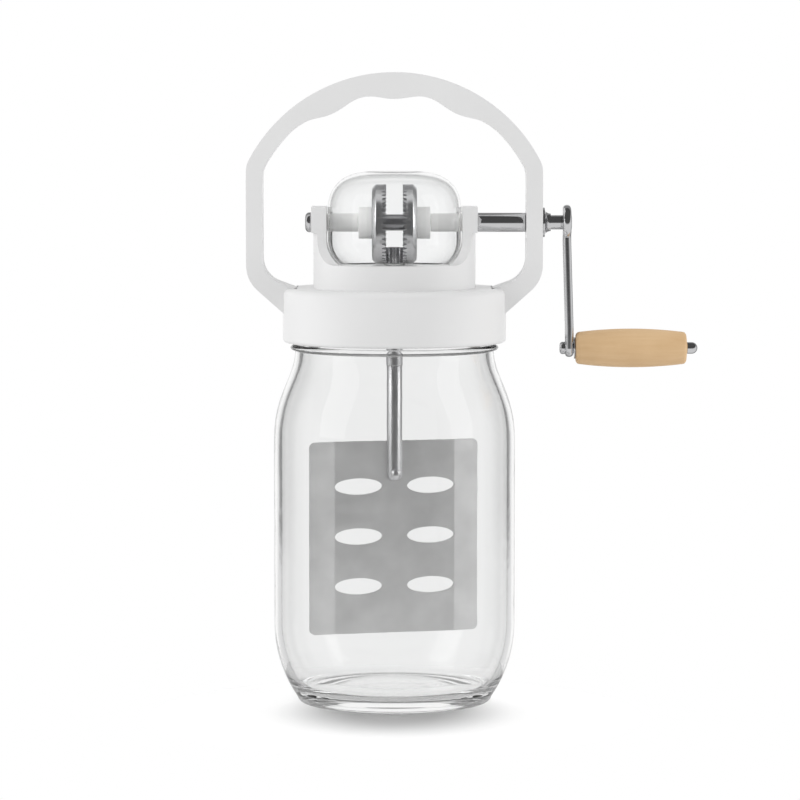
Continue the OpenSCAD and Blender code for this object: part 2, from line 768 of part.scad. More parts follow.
// Bearing bush between two places along the shaft
module shaft_bush(x0, x1) {
    color("gainsboro") shaft_ring(x0, x1, bush_d / 2, shaft_d / 2 + run_gap);
}

module left_shaft_bush() {
    shaft_bush(-ear_out_x, -ear_in_x);
}

module right_shaft_bush() {
    shaft_bush(ear_in_x, ear_out_x);
}

module handle_bush() {
    shaft_bush(leg_in_x, leg_out_x);
}

module spindle_bush() {
    color("gainsboro") difference() {
        union() {
            translate([0, 0, bush_low]) cylinder(h = deck_z - bush_low, d = spindle_bush_d);
            translate([0, 0, deck_z - spindle_flange_t]) cylinder(h = spindle_flange_t, d = spindle_flange_d);
        }
        translate([0, 0, bush_low - lap])
            cylinder(h = deck_z - bush_low + 2 * lap, r = spindle_d / 2 + run_gap);
    }
}

module spindle_seal() {
    color("white") axis_ring(seal_low, bush_low, seal_d / 2, spindle_d / 2 + run_gap);
}

module crank_shaft() {
    color("silver") difference() {
        shaft_ring(-ear_out_x - end_gap, arm_x + arm_t, shaft_d / 2);
        shaft_ring(-ear_out_x - end_gap - lap, end_shank_l - ear_out_x, end_shank_d / 2 + press_gap);
        hub_pin_shape(press_gap);
    }
}

module shaft_end_washer() {
    x = -ear_out_x - end_gap;
    color("dimgray") shaft_ring(x - end_washer_t, x, end_screw_d / 2, end_shank_d / 2 + end_gap);
}

module shaft_end_screw() {
    x = -ear_out_x - end_gap - end_washer_t;
    dome_r = (pow(end_screw_d / 2, 2) + pow(end_screw_h, 2)) / (2 * end_screw_h);
    color("silver") {
        intersection() {
            shaft_ring(x - end_screw_h, x, end_screw_d / 2);
            translate([x - end_screw_h + dome_r, 0, shaft_z]) sphere(dome_r);
        }
        shaft_ring(x - lap, x + end_shank_l - end_gap, end_shank_d / 2);
    }
}

// Plastic sleeve between a hub and an ear
module shaft_sleeve() {
    color("whitesmoke")
        shaft_ring(hub_end_x + end_gap, ear_in_x - end_gap, sleeve_d / 2, shaft_d / 2 + press_gap);
}

module left_sleeve() {
    mirror([1, 0, 0]) shaft_sleeve();
}

module right_sleeve() {
    shaft_sleeve();
}

module gear_spacer() {
    color("dimgray") shaft_ring(end_gap - gear_web_x, gear_web_x, gear_spacer_d / 2, shaft_d / 2 + press_gap);
}

// Crown gear on the +X side, its teeth towards the middle and a tooth gap straight down
module crown_gear(bore_r) {
    gear_r = gear_d / 2;
    translate([0, 0, shaft_z]) {
        along_x() rotate_extrude() polygon([
            [bore_r, gear_web_x],
            [dish_r, gear_web_x],
            [dish_r, gear_face_x],
            [gear_r, gear_face_x],
            [gear_r, gear_back_x - gear_bevel],
            [gear_r - gear_bevel, gear_back_x],
            [bore_r, gear_back_x]
        ]);
        for (i = [0:gear_teeth - 1])
            rotate([(i + 0.5) * 360 / gear_teeth, 0, 0])
                translate([0, 0, -crown_out_r]) linear_extrude(crown_tooth_l) polygon([
                    [gear_face_x + lap, -crown_root_w / 2],
                    [gear_face_x + lap, crown_root_w / 2],
                    [gear_face_x, crown_root_w / 2],
                    [gear_tip_x, crown_tip_w / 2],
                    [gear_tip_x, -crown_tip_w / 2],
                    [gear_face_x, -crown_root_w / 2]
                ]);
    }
}

module driver_gear() {
    color("gray") crown_gear(shaft_d / 2 + press_gap);
}

module idler_gear() {
    color("gray") mirror([1, 0, 0]) crown_gear(shaft_d / 2 + run_gap);
}

// The pin through the driving hub and the shaft, grown by a clearance for its hole
module hub_pin_shape(grow = 0) {
    translate([(gear_back_x + hub_end_x) / 2, 0, shaft_z - hub_d / 2 + end_gap])
        cylinder(h = hub_d - 2 * end_gap, d = hub_pin_d + 2 * grow);
}

module driver_hub() {
    color("whitesmoke") difference() {
        shaft_ring(gear_back_x, hub_end_x, hub_d / 2, shaft_d / 2 + press_gap);
        translate([(gear_back_x + hub_end_x) / 2, 0, shaft_z - hub_d])
            cylinder(h = 2 * hub_d, d = hub_pin_d + 2 * press_gap);
    }
}

module idler_hub() {
    color("whitesmoke") shaft_ring(-hub_end_x, -gear_back_x, hub_d / 2, shaft_d / 2 + run_gap);
}

module hub_pin() {
    color("silver") hub_pin_shape();
}

module shaft_tube() {
    color("silver")
        shaft_ring(ear_out_x + end_gap, leg_in_x - end_gap, tube_d / 2, shaft_d / 2 + press_gap);
}

module crank_flange() {
    color("silver") translate([leg_out_x + end_gap, 0, shaft_z]) along_x() difference() {
        union() {
            cylinder(h = flange_rim, d = flange_d);
            translate([0, 0, flange_rim])
                cylinder(h = flange_l - flange_rim, d1 = flange_d, d2 = flange_neck_d);
        }
        translate([0, 0, -lap]) cylinder(h = flange_l + 2 * lap, r = shaft_d / 2 + press_gap);
    }
}

// Edge outline of the crank arm in x and z, with upright ends and a leaning blade
module arm_edge() {
    top = shaft_z + arm_top_d;
    low = grip_z - arm_low_d;
    polygon([
        [arm_x, top], [arm_x + arm_t, top],
        [arm_x + arm_t, shaft_z - arm_end], [arm_low_x + arm_t, grip_z + arm_end],
        [arm_low_x + arm_t, low], [arm_low_x, low],
        [arm_low_x, grip_z + arm_end], [arm_x, shaft_z - arm_end]
    ]);
}

module crank_arm() {
    color("silver") difference() {
        intersection() {
            rotate([90, 0, 0]) linear_extrude(2 * arm_top_d, center = true) arm_edge();
            union() {
                shaft_ring(arm_x - arm_t, arm_low_x + 2 * arm_t, arm_top_d / 2);
                shaft_ring(arm_x - arm_t, arm_low_x + 2 * arm_t, arm_low_d / 2, z = grip_z);
                translate([arm_x - arm_t, -arm_w / 2, grip_z]) cube([arm_lean + 3 * arm_t, arm_w, crank_r]);
            }
        }
        shaft_ring(arm_x - lap, arm_x + arm_t + lap, shaft_d / 2 + press_gap);
        shaft_ring(arm_low_x - lap, arm_low_x + arm_t + lap, pin_d / 2 + press_gap, z = grip_z);
    }
}

module grip_pin() {
    head_low = arm_low_x - pin_head_h;
    color("silver") {
        shaft_ring(head_low, arm_low_x, pin_head_d / 2, z = grip_z);
        shaft_ring(arm_low_x - lap, cap_x + cap_l / 2, pin_d / 2, z = grip_z);
    }
}

module grip_cap() {
    cap_r = cap_d / 2;
    color("silver") difference() {
        union() {
            shaft_ring(cap_x, cap_x + cap_l - cap_r, cap_r, z = grip_z);
            translate([cap_x + cap_l - cap_r, 0, grip_z]) sphere(cap_r);
        }
        shaft_ring(cap_x - lap, cap_x + cap_l / 2, pin_d / 2 + press_gap, z = grip_z);
        translate([cap_x - cap_l, -cap_d, grip_z - cap_d]) cube([cap_l, 2 * cap_d, 2 * cap_d]);
    }
}

module grip_washer() {
    color("dimgray") shaft_ring(
        grip_washer_x, grip_washer_x + grip_washer_t, grip_washer_d / 2, pin_d / 2 + press_gap, grip_z
    );
}

// Radius of the barrel-shaped grip at a place along its length
function grip_radius(x) =
    grip_end_d / 2 + (grip_d - grip_end_d) / 2 * (1 - pow(2 * x / grip_l - 1, 2));

module wooden_grip() {
    bore_r = pin_d / 2 + run_gap;
    edge = grip_edge_r;
    end_r = grip_radius(edge) - edge;
    color("burlywood") translate([grip_x, 0, grip_z]) along_x() rotate_extrude() polygon(concat(
        [[bore_r, 0]],
        arc([end_r, edge], edge, -90, 0),
        [for (i = [1:curve_steps - 1])
            let (x = edge + (grip_l - 2 * edge) * i / curve_steps)
                [grip_radius(x), x]],
        arc([end_r, grip_l - edge], edge, 0, 90),
        [[bore_r, grip_l]]
    ));
}

module pinion() {
    color("dimgray") translate([0, 0, pinion_z]) difference() {
        linear_extrude(pinion_h) polygon([
            for (i = [0:pinion_teeth - 1], p = [
                [pinion_root_r, -pinion_root_w / 2], [pinion_tip_r, -pinion_tip_w / 2],
                [pinion_tip_r, pinion_tip_w / 2], [pinion_root_r, pinion_root_w / 2]
            ])
                let (a = 360 * i / pinion_teeth + asin(p[1] / p[0]))
                    p[0] * [cos(a), sin(a)]
        ]);
        translate([0, 0, -lap]) cylinder(h = pinion_h + 2 * lap, r = spindle_d / 2 + press_gap);
    }
}

module drive_spindle() {
    color("silver") translate([0, 0, sleeve_mid]) cylinder(h = spindle_top - sleeve_mid, d = spindle_d);
}

module thrust_washer() {
    color("gainsboro") axis_ring(deck_z, pinion_z, pinion_tip_r, spindle_d / 2 + press_gap);
}

module coupling_sleeve() {
    color("silver") axis_ring(sleeve_low, sleeve_top, sleeve_out_d / 2, spindle_d / 2 + press_gap);
}

// The rivet's shank and the slot for the plate are turned with the plate
module dasher_rod() {
    rod_r = rod_d / 2;
    color("silver") difference() {
        union() {
            rotate_extrude() {
                translate([0, rod_z + rod_end_r]) square([rod_r, sleeve_low - rod_z - rod_end_r]);
                translate([0, rod_z]) square([rod_r - rod_end_r, rod_end_r + lap]);
                translate([rod_r - rod_end_r, rod_z + rod_end_r]) circle(rod_end_r);
            }
            translate([0, 0, sleeve_low - lap])
                cylinder(h = sleeve_mid - sleeve_low + lap - end_gap, d = spindle_d);
        }
        rotate(plate_turn) {
            translate([-rod_d, -plate_t / 2 - press_gap, rod_z - lap])
                cube([2 * rod_d, plate_t + 2 * press_gap, plate_top - rod_z + lap + press_gap]);
            translate([0, -rod_d, rivet_z]) rotate([-90, 0, 0])
                cylinder(h = 2 * rod_d, r = rivet_d / 2 + press_gap);
        }
    }
}

// Plan of the plate: a flat middle, a right wing that bends back and a left one that bends forward
module plate_plan() {
    flat = plate_w / 2 - wing_w;
    half = plate_t / 2;
    tip = [flat + wing_w * cos(wing_bend), wing_w * sin(wing_bend)];
    side = half * [-sin(wing_bend), cos(wing_bend)];
    inset = half * tan(wing_bend / 2);
    right_front = [[flat + inset, -half], tip - side];
    right_back = [tip + side, [flat - inset, half]];
    right = concat(right_front, right_back);
    polygon(concat(right, [for (p = right) -p]));
}

// Front outline of the plate, rounded at its corners
module plate_front() {
    r = plate_corner_r;
    reach = plate_w / 2 - wing_w + wing_w * cos(wing_bend);
    translate([-reach, plate_z + r]) square([2 * reach, plate_h - 2 * r]);
    translate([r - reach, plate_z]) square([2 * (reach - r), plate_h]);
    for (x = [-1, 1], z = [plate_z + r, plate_top - r])
        translate([x * (reach - r), z]) circle(r);
}

// Elliptical hole of the plate
module plate_hole() {
    polygon([for (i = [0:2 * curve_steps - 1])
        let (a = 180 * i / curve_steps)
            [hole_w / 2 * cos(a), hole_h / 2 * sin(a)]]);
}

module dasher_plate() {
    hole_mid_z = plate_z + hole_mid_up;
    color("lightgray") rotate(plate_turn) difference() {
        intersection() {
            translate([0, 0, plate_z - lap]) linear_extrude(plate_h + 2 * lap) plate_plan();
            rotate([90, 0, 0]) linear_extrude(plate_w, center = true) plate_front();
        }
        rotate([90, 0, 0]) linear_extrude(plate_w, center = true)
            for (x = [-1, 1], i = [0:hole_rows - 1])
                translate([x * hole_column, hole_mid_z + (i - (hole_rows - 1) / 2) * hole_pitch])
                    plate_hole();
        translate([0, -rod_d, rivet_z]) rotate([-90, 0, 0])
            cylinder(h = 2 * rod_d, r = rivet_d / 2 + press_gap);
    }
}

module dasher_rivet() {
    seat = rod_d / 2 + press_gap;
    color("silver") rotate(plate_turn) translate([0, 0, rivet_z]) rotate([-90, 0, 0]) {
        cylinder(h = 2 * seat + lap, d = rivet_d, center = true);
        for (side = [0, 1]) mirror([0, 0, side]) translate([0, 0, seat])
            cylinder(h = rivet_head_h, d1 = rivet_head_d, d2 = rivet_d);
    }
}

glass_jar();
lid_gasket();
screw_lid();
carry_handle();
gear_housing();
housing_screws();
gear_cover();
left_shaft_bush();
right_shaft_bush();
handle_bush();
spindle_bush();
spindle_seal();
crank_shaft();
shaft_end_screw();
shaft_end_washer();
left_sleeve();
right_sleeve();
gear_spacer();
driver_gear();
driver_hub();
hub_pin();
shaft_tube();
crank_flange();
crank_arm();
grip_pin();
grip_cap();
grip_washer();
wooden_grip();
idler_gear();
idler_hub();
pinion();
drive_spindle();
thrust_washer();
coupling_sleeve();
dasher_rod();
dasher_plate();
dasher_rivet();
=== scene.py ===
"""Dress a jar butter churn: clear glass, white plastic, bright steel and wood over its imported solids."""

import json
import math

import bmesh
import bpy
from bpy.props import FloatProperty, FloatVectorProperty, IntProperty, PointerProperty
from bpy.types import Operator, Panel, PropertyGroup
from mathutils import Matrix, Vector


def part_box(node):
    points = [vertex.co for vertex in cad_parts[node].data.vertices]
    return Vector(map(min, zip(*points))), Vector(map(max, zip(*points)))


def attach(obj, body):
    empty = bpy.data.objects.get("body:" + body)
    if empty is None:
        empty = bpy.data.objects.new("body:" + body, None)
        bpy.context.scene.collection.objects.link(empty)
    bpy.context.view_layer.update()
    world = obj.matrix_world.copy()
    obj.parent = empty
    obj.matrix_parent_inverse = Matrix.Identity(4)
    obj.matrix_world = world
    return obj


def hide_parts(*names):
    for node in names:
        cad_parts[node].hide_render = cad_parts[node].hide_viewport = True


bl_info = {
    "name": "Jar Butter Churn",
    "version": (1, 0, 0),
    "blender": (4, 5, 0),
    "location": "View3D > Sidebar > Churn",
    "description": "Models and finishes the pieces of a hand-cranked jar butter churn",
    "category": "Add Mesh",
}

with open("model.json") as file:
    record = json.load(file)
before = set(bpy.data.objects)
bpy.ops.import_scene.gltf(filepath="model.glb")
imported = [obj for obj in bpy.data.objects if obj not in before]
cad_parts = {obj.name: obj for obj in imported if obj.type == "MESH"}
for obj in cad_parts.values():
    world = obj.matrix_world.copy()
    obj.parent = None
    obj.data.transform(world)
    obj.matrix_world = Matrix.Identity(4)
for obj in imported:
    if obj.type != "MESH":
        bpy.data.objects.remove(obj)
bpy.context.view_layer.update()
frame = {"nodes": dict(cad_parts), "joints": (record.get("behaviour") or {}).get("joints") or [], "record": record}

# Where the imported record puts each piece
RECORD = frame["record"]
BODY_OF = {node: body for body, nodes in RECORD["behaviour"]["bodies"].items() for node in nodes}
SLOT_OF = {part["node"]: part["material_slot"] for part in RECORD["subparts"]}
JOINT_AT = {joint["name"]: Vector(joint["pos_m"]) for joint in frame["joints"] if "pos_m" in joint}
SHAFT_Z = JOINT_AT["crank_turn"].z
GRIP_Z = JOINT_AT["grip_spin"].z

# Lengths in metres: a millimetre, how near points are joined, and the room kept beside a bend
MM = 0.001
WELD = 1e-7
CAD_WELD = 1e-6
CLEAR = MM / 2

# Faces of the CAD mesh that lie this flat to each other are joined
FLAT = math.radians(0.5)

# Part of a noise's range that is spread from 0 to 1
NOISE_SPREAD = (0.3, 0.7)

WHITE = (1, 1, 1, 1)

# Glass surfaces that a ray goes through in the jar's near wall
NEAR_WALL = 2

# Steps of a full turn, for pieces from the widest to the smallest
JAR_STEPS, LID_STEPS, GEAR_STEPS, RING_STEPS, PIN_STEPS = 160, 128, 96, 64, 48

# Turned pieces are made along +Z and then laid along the shaft, the grip or the rivet
ALONG_X = Matrix.Rotation(math.radians(90), 4, "Y")
ALONG_Y = Matrix.Rotation(math.radians(90), 4, "X")
ON_AXIS = Matrix.Identity(4)
ON_SHAFT = Matrix.Translation((0, 0, SHAFT_Z)) @ ALONG_X
ON_GRIP = Matrix.Translation((0, 0, GRIP_Z)) @ ALONG_X


def length(name, description, mm):
    """Property for a length, written in millimetres."""
    return FloatProperty(name=name, description=description, default=mm * MM, unit="LENGTH", precision=5)


def angle(name, description, degrees):
    """Property for an angle, written in degrees."""
    return FloatProperty(name=name, description=description, default=math.radians(degrees), subtype="ANGLE")


def number(name, description, value):
    """Property for a plain number."""
    return FloatProperty(name=name, description=description, default=value)


def colour(name, description, rgb):
    """Property for a colour in linear light."""
    return FloatVectorProperty(
        name=name, description=description, default=rgb, subtype="COLOR", size=3, min=0, max=1
    )


class ChurnJar(PropertyGroup):
    """Sizes of the glass jar."""

    wall: length("Wall", "Glass thickness of the body", 3)
    floor: length("Floor", "Height of the hollow's floor above the table", 6)
    neck_r: length("Neck Radius", "Outer radius of the neck between its threads", 41.2)
    neck_wall: length("Neck Wall", "Glass thickness of the neck", 3.2)
    neck_h: length("Neck Height", "Height of the neck from the bead to the rim", 18.3)
    bead_h: length("Bead Height", "Height of the bead under the lid", 2.7)
    bead_out: length("Bead Reach", "How far the bead stands out of the neck", 1.9)
    bead_power: number("Bead Power", "Power of the bead's curve, where 1 is a half ellipse", 1.6)
    shoulder_h: length("Shoulder Height", "Height of the shoulder", 41)
    shoulder_bias: number("Shoulder Bias", "Power that moves the steepest part to the neck", 1.48)
    heel_h: length("Heel Height", "Height of the rounded heel", 33)
    heel_in: length("Heel Inset", "How far the heel draws in at the foot", 9.65)
    hollow_in: length("Hollow Inset", "How far the hollow's wall draws in at its floor", 8)
    hollow_round: length("Hollow Round", "Round between the hollow's wall and its floor", 8)
    foot_h: length("Foot Height", "Height of the small round above the foot", 2)
    foot_round: length("Foot Round", "Width of the small round above the foot", 2.75)
    foot_ring: length("Foot Ring", "Width of the ring that the jar stands on", 4)
    push_up: length("Push-Up", "Rise of the hollow underside", 2.2)
    rim_round: length("Rim Round", "Radius of the rim's edges", 1.2)
    pitch: length("Thread Pitch", "Rise of the thread in one turn", 6.35)
    thread_turns: number("Thread Turns", "Turns of the thread", 1.25)
    thread_out: length("Thread Height", "Height of the thread above the neck", 1.6)
    thread_w: length("Thread Width", "Width of the thread at its root", 3.2)
    thread_top: length("Thread Top", "Distance from the rim to the thread's upper end", 4)


class ChurnLid(PropertyGroup):
    """Sizes of the screw lid."""

    wall: length("Wall", "Wall of the skirt", 2.5)
    deck: length("Deck", "Thickness of the top", 3)
    bore_r: length("Bore Radius", "Radius of the hole for the spindle's bush", 4.52)
    top_round: length("Top Round", "Radius of the upper edge", 2.5)
    low_round: length("Low Round", "Radius of the lower edge", 1.6)
    in_round: length("Inner Round", "Radius of the lower edge's inside", 0.6)
    thread_in: length("Thread Height", "Height of the thread above the skirt's wall", 1.8)
    thread_w: length("Thread Width", "Width of the thread at its root", 2.2)
    thread_low: length("Thread Low", "Height of the thread's lower end above the lid's edge", 3.2)
    gasket_in: length("Gasket Reach", "How far the sealing ring reaches in from the jar's mouth", 0.9)


class ChurnHandle(PropertyGroup):
    """Sizes of the carry handle."""

    arch_r: length("Arch Radius", "Outer radius of the arch", 67.8)
    leg_t: length("Leg Thickness", "Thickness of the legs", 6.8)
    arch_t: length("Arch Thickness", "Thickness of the arch at its shoulders", 7.1)
    hold_t: length("Hold Thickness", "Extra thickness of the hand hold", 2.8)
    hold_from: angle("Hold From", "Angle from the top where the hand hold starts", 45)
    hold_to: angle("Hold To", "Angle from the top where the hand hold is full", 30)
    wave_h: length("Wave Height", "Height of the finger waves", 1.1)
    wave_angle: angle("Wave Angle", "Angle of the arch that one finger wave takes", 26)
    blend: number("Blend", "Sharpness of the bend between arch and legs", 150)
    foot_slope: angle("Foot Slope", "Slope of the feet's outside", 41.7)
    toe_slope: angle("Toe Slope", "Slope of the feet's inside", 19.7)
    foot_drop: length("Foot Drop", "Depth of the feet below the lid's top", 9.9)
    toe_reach: length("Toe Reach", "Reach of the toes in from the lid's wall", 6.1)
    sink: length("Sink", "How far the feet are sunk into the lid's wall", 1.2)
    out_r: length("Outer Bend", "Radius of the legs' lower outside bend", 14)
    in_r: length("Inner Bend", "Radius of the legs' lower inside bend", 10.5)
    edge: length("Edge", "Rounding of the long edges", 1.2)


class ChurnHousing(PropertyGroup):
    """Sizes of the drum with its ears, and of the clear dome."""

    edge: length("Housing Edge", "Rounding of the housing's edges", 0.45)
    wall: length("Dome Wall", "Thickness of the dome's sides", 1.1)
    low_wall: length("Low Wall", "Thickness of the dome's wall at its lower edge", 0.5)
    roof: length("Roof", "Thickness of the dome's flat roof", 1.5)
    crown_h: length("Crown Height", "Height of the dome's crown above its wall", 20.4)
    crown_power: number("Crown Power", "Power of the crown's curve, where 2 is an ellipse", 3.2)
    low_r: length("Dome Low Radius", "Radius of the dome's lower edge", 12)
    low_h: length("Dome Low Height", "Height of that edge's centre above the deck", 10)
    dome_h: length("Dome Height", "Height of the dome above the deck", 38.4)
    slot: length("Dome Slot", "Half width of the slots for the shaft's sleeves", 4.3)
    slot_rise: length("Slot Rise", "Rise of the slots above the shaft's axis", 4.3)


class ChurnGears(PropertyGroup):
    """Sizes of the crown gears and the pinion."""

    teeth: IntProperty(name="Teeth", description="Teeth on each crown gear", default=48)
    pinion_teeth: IntProperty(name="Pinion Teeth", description="Teeth on the pinion", default=12)
    body_t: length("Body Thickness", "Thickness of the crown gears behind their teeth", 4.2)
    dish: length("Dish", "Depth of the dish in each crown gear's face", 1.5)
    rim: length("Rim", "Width of the rim outside the teeth", 0.1)
    inner_rim: length("Inner Rim", "Width of the rim inside the teeth", 0.8)
    bevel: length("Bevel", "Bevel round each crown gear's back", 1.6)
    tooth_l: length("Tooth Length", "Length of the crown teeth along the radius", 1.1)
    root_w: length("Root Width", "Width of the crown teeth at the root", 1.75)
    tip_w: length("Tip Width", "Width of all teeth at the tip", 0.45)
    pinion_root_r: length("Pinion Root", "Radius of the pinion at its roots", 2.5)
    pinion_root_w: length("Pinion Root Width", "Width of the pinion's teeth at the root", 0.9)
    edge: length("Edge", "Rounding of the gears' edges", 0.18)


class ChurnCrank(PropertyGroup):
    """Sizes of the crank, its grip and the plain turned pieces."""

    shaft_r: length("Shaft Radius", "Radius of the crank shaft", 3)
    bore_r: length("Bore Radius", "Radius of the shaft's hole in the gears and rings on it", 3.05)
    spindle_r: length("Spindle Radius", "Radius of the spindle's hole in the pinion and rings on it", 2)
    flange_neck_r: length("Flange Neck", "Radius of the flange's neck", 3.7)
    flange_rim: length("Flange Rim", "Thickness of the flange's rim", 0.7)
    arm_w: length("Arm Width", "Width of the arm's blade", 7.6)
    arm_t: length("Arm Thickness", "Thickness of the arm", 3.6)
    arm_top_r: length("Upper Eye", "Radius of the arm's upper eye", 7.3)
    arm_low_r: length("Lower Eye", "Radius of the arm's lower eye", 3.8)
    arm_lean: length("Arm Lean", "How far the arm leans out towards the grip", 1.1)
    arm_end: length("Arm End", "Length of each of the arm's upright ends", 8)
    arm_edge: length("Arm Edge", "Rounding of the arm's edges", 1.5)
    pin_r: length("Pin Radius", "Radius of the pin that the grip turns on", 2)
    pin_head: length("Pin Head", "Height of the pin's head", 2.2)
    pin_round: length("Pin Round", "Rounding of the pin's head", 1.3)
    cap_hole: length("Cap Hole", "Depth of the pin's hole in the cap", 2)
    cap_round: length("Cap Round", "Rounding of the cap's end", 2.401)
    grip_gap: length("Grip Gap", "Room between the grip and its pin", 0.05)
    grip_end_r: length("Grip End", "Radius of the wooden grip at its ends", 6.5)
    grip_edge: length("Grip Edge", "Rounding of the wooden grip's ends", 1.4)
    end_screw_h: length("End Screw", "Height of the end screw's domed head", 2)
    end_round: length("End Round", "Rounding of the end screw's head", 1.8)
    end_shank_r: length("End Shank", "Radius of the end screw's shank", 1.5)
    edge: length("Edge", "Rounding of the plain turned pieces", 0.25)
    ridge: length("Ridge", "Distance between the spacer's ridges", 0.75)


class ChurnDasher(PropertyGroup):
    """Sizes of the dasher."""

    plate_w: length("Plate Width", "Width of the plate along its face", 73)
    plate_t: length("Plate Thickness", "Thickness of the plate", 1.2)
    edge: length("Plate Edge", "Rounding of the plate's edges", 0.2)
    corner_r: length("Plate Corner", "Radius of the plate's corners", 2.4)
    wing_w: length("Wing Width", "Width of each side wing", 11)
    wing_bend: angle("Wing Bend", "Angle that the right wing bends back and the left forward", 10)
    bend_w: length("Bend Width", "Width over which a wing bends", 1.2)
    turn: angle("Turn", "Turn of the plate about the jar's axis at rest", 14)
    hole_w: length("Hole Width", "Width of the holes", 20)
    hole_h: length("Hole Height", "Height of the holes", 6.8)
    hole_column: length("Hole Column", "Distance of each column from the middle", 15.4)
    hole_pitch: length("Hole Pitch", "Distance between rows", 20.8)
    hole_mid_up: length("Hole Middle", "Height of the middle row above the lower edge", 40.5)
    rod_end_r: length("Rod End", "Rounding of the rod's lower end", 2.2)
    rivet_r: length("Rivet", "Radius of the rivet's heads", 2.2)
    rivet_out: length("Rivet Reach", "How far the rivet's heads stand out of the rod", 1.02)
    rivet_round: length("Rivet Round", "Rounding of the rivet's heads", 1.98)
    rivet_up: length("Rivet Rise", "Height of the rivet above the rod's lower end", 3)


class ChurnFinish(PropertyGroup):
    """Colours of the finishes, in linear light."""

    glass: colour("Glass", "Tint of the jar's glass", (0.93, 0.932, 0.931))
    # Edge tints: partly real absorption, mostly painted shade that darkens glass and dome where seen edge on
    glass_edge: colour("Glass Edge", "Tint of glass seen edge on", (0.03, 0.032, 0.032))
    dome: colour("Dome", "Tint of the clear dome", (0.955, 0.958, 0.958))
    dome_edge: colour("Dome Edge", "Tint of the dome seen edge on", (0.50, 0.51, 0.51))
    plastic: colour("Plastic", "White moulded plastic", (0.84, 0.84, 0.84))
    nylon: colour("Nylon", "Natural nylon", (0.90, 0.90, 0.89))
    silicone: colour("Silicone", "Sealing rings", (0.78, 0.78, 0.77))
    chrome: colour("Chrome", "Bright plated steel", (0.70, 0.70, 0.71))
    gear: colour("Gear Steel", "Machined gear steel", (0.74, 0.74, 0.75))
    plate: colour("Plate Steel", "Brushed dasher plate", (0.92, 0.92, 0.92))
    wood: colour("Wood", "Pale hardwood", (0.80, 0.555, 0.315))
    wood_dark: colour("Wood Grain", "Darker grain of the hardwood", (0.70, 0.46, 0.24))
    # This grey shows only near the jar, where the emission lift is held back as a painted shadow
    floor: colour("Floor", "Pale floor", (0.50, 0.50, 0.50))


class ChurnStage(PropertyGroup):
    """Camera and light."""

    eye_x: length("Eye X", "Camera's place along X", 2.3)
    eye_z: length("Eye Height", "Camera's height above the floor", 251)
    distance: length("Distance", "Camera's distance from the jar's axis", 1600)
    tilt: angle("Tilt", "Camera's downward tilt", 4.49)
    view: angle("View Angle", "Camera's angle of view", 11.8)
    sky: number("Sky", "Strength of the all-round studio light", 0.88)
    front: number("Front", "Strength of the dim studio behind the camera", 0.50)
    front_mirror: number("Front Mirror", "Strength of that studio in reflections", 0.08)
    front_glass: number("Front Glass", "Strength of that studio turned round inside glass", 0.75)
    side_mirror: number("Side Mirror", "Strength of the all-round light in reflections", 0.82)
    front_up: angle("Front Rise", "Height of the dim studio's middle", 30)
    mirror_up: angle("Mirror Rise", "Height of its middle in reflections", 64)
    mirror_in: angle("Mirror Core", "Half angle of its core in reflections", 66)
    mirror_out: angle("Mirror Edge", "Half angle where it ends in reflections", 80)
    inner_up: angle("Inner Rise", "Height of its middle in reflections behind glass", 12)
    front_in: angle("Front Core", "Half angle of the dim studio's core", 47)
    front_out: angle("Front Edge", "Half angle where the dim studio ends", 61)
    floor_r: length("Floor Radius", "Radius of the floor", 100)
    floor_y: length("Floor Forward", "How far the floor's middle lies before the jar", 40)
    floor_gap: length("Floor Gap", "Depth of the floor below the jar's foot", 0.2)
    rim_in: angle("Rim Core", "Half angle of the bright studio behind the churn", 25)
    rim_out: angle("Rim Edge", "Half angle where the dark rim round it ends", 75)
    rim_soft: angle("Rim Soft", "Angle over which that dark rim fades out", 12)
    back_soft: angle("Back Soft", "Angle over which the bright studio fades into it", 8)
    rim: number("Rim", "Strength of that dark rim in reflections", 0.30)
    rim_glass: number("Rim Glass", "Strength of that dark rim turned round inside glass", 0.25)
    table: number("Table", "Strength of the pale table under that rim, turned round inside glass", 0.80)
    table_from: angle("Table From", "Angle from straight up where the pale table starts", 96)
    table_to: angle("Table To", "Angle from straight up where the pale table is full", 97.4)
    floor_under: number("Floor Under", "Light on the floor where it is seen through glass", 0.50)
    floor_far: number("Floor Far", "Light that lifts the floor to white, away from the jar", 0.55)
    floor_mirror: number("Floor Mirror", "Light on the floor in reflections", 0.15)
    floor_inner: number("Floor Inner", "Light on the floor in reflections inside the jar", 0.60)
    # These shape the floor's painted shadow: a grey oval set forward of the jar, narrower than deep, where the
    # emission lift is held back
    painted_shadow_fall: length("Shadow Fall", "How far the jar's shadow falls forward", 30)
    painted_shadow_in: length("Shadow Core", "Radius of the floor that is not lifted to white", 22)
    painted_shadow_out: length("Shadow Edge", "Radius where the floor is white", 72)
    painted_shadow_wide: number("Shadow Narrowing", "How much narrower than deep the shadow is", 1.3)
    aim_z: length("Aim Height", "Height that the soft lights look at", 130)
    key: number("Key", "Power of the soft light on the left", 4.4)
    fill: number("Fill", "Power of the soft light on the right", 3.2)


class ChurnSettings(PropertyGroup):
    """All the sizes and colours of the churn."""

    jar: PointerProperty(type=ChurnJar)
    lid: PointerProperty(type=ChurnLid)
    handle: PointerProperty(type=ChurnHandle)
    housing: PointerProperty(type=ChurnHousing)
    gears: PointerProperty(type=ChurnGears)
    crank: PointerProperty(type=ChurnCrank)
    dasher: PointerProperty(type=ChurnDasher)
    finish: PointerProperty(type=ChurnFinish)
    stage: PointerProperty(type=ChurnStage)


def shares(steps):
    """Even steps from 0 to 1."""
    return [i / steps for i in range(steps + 1)]


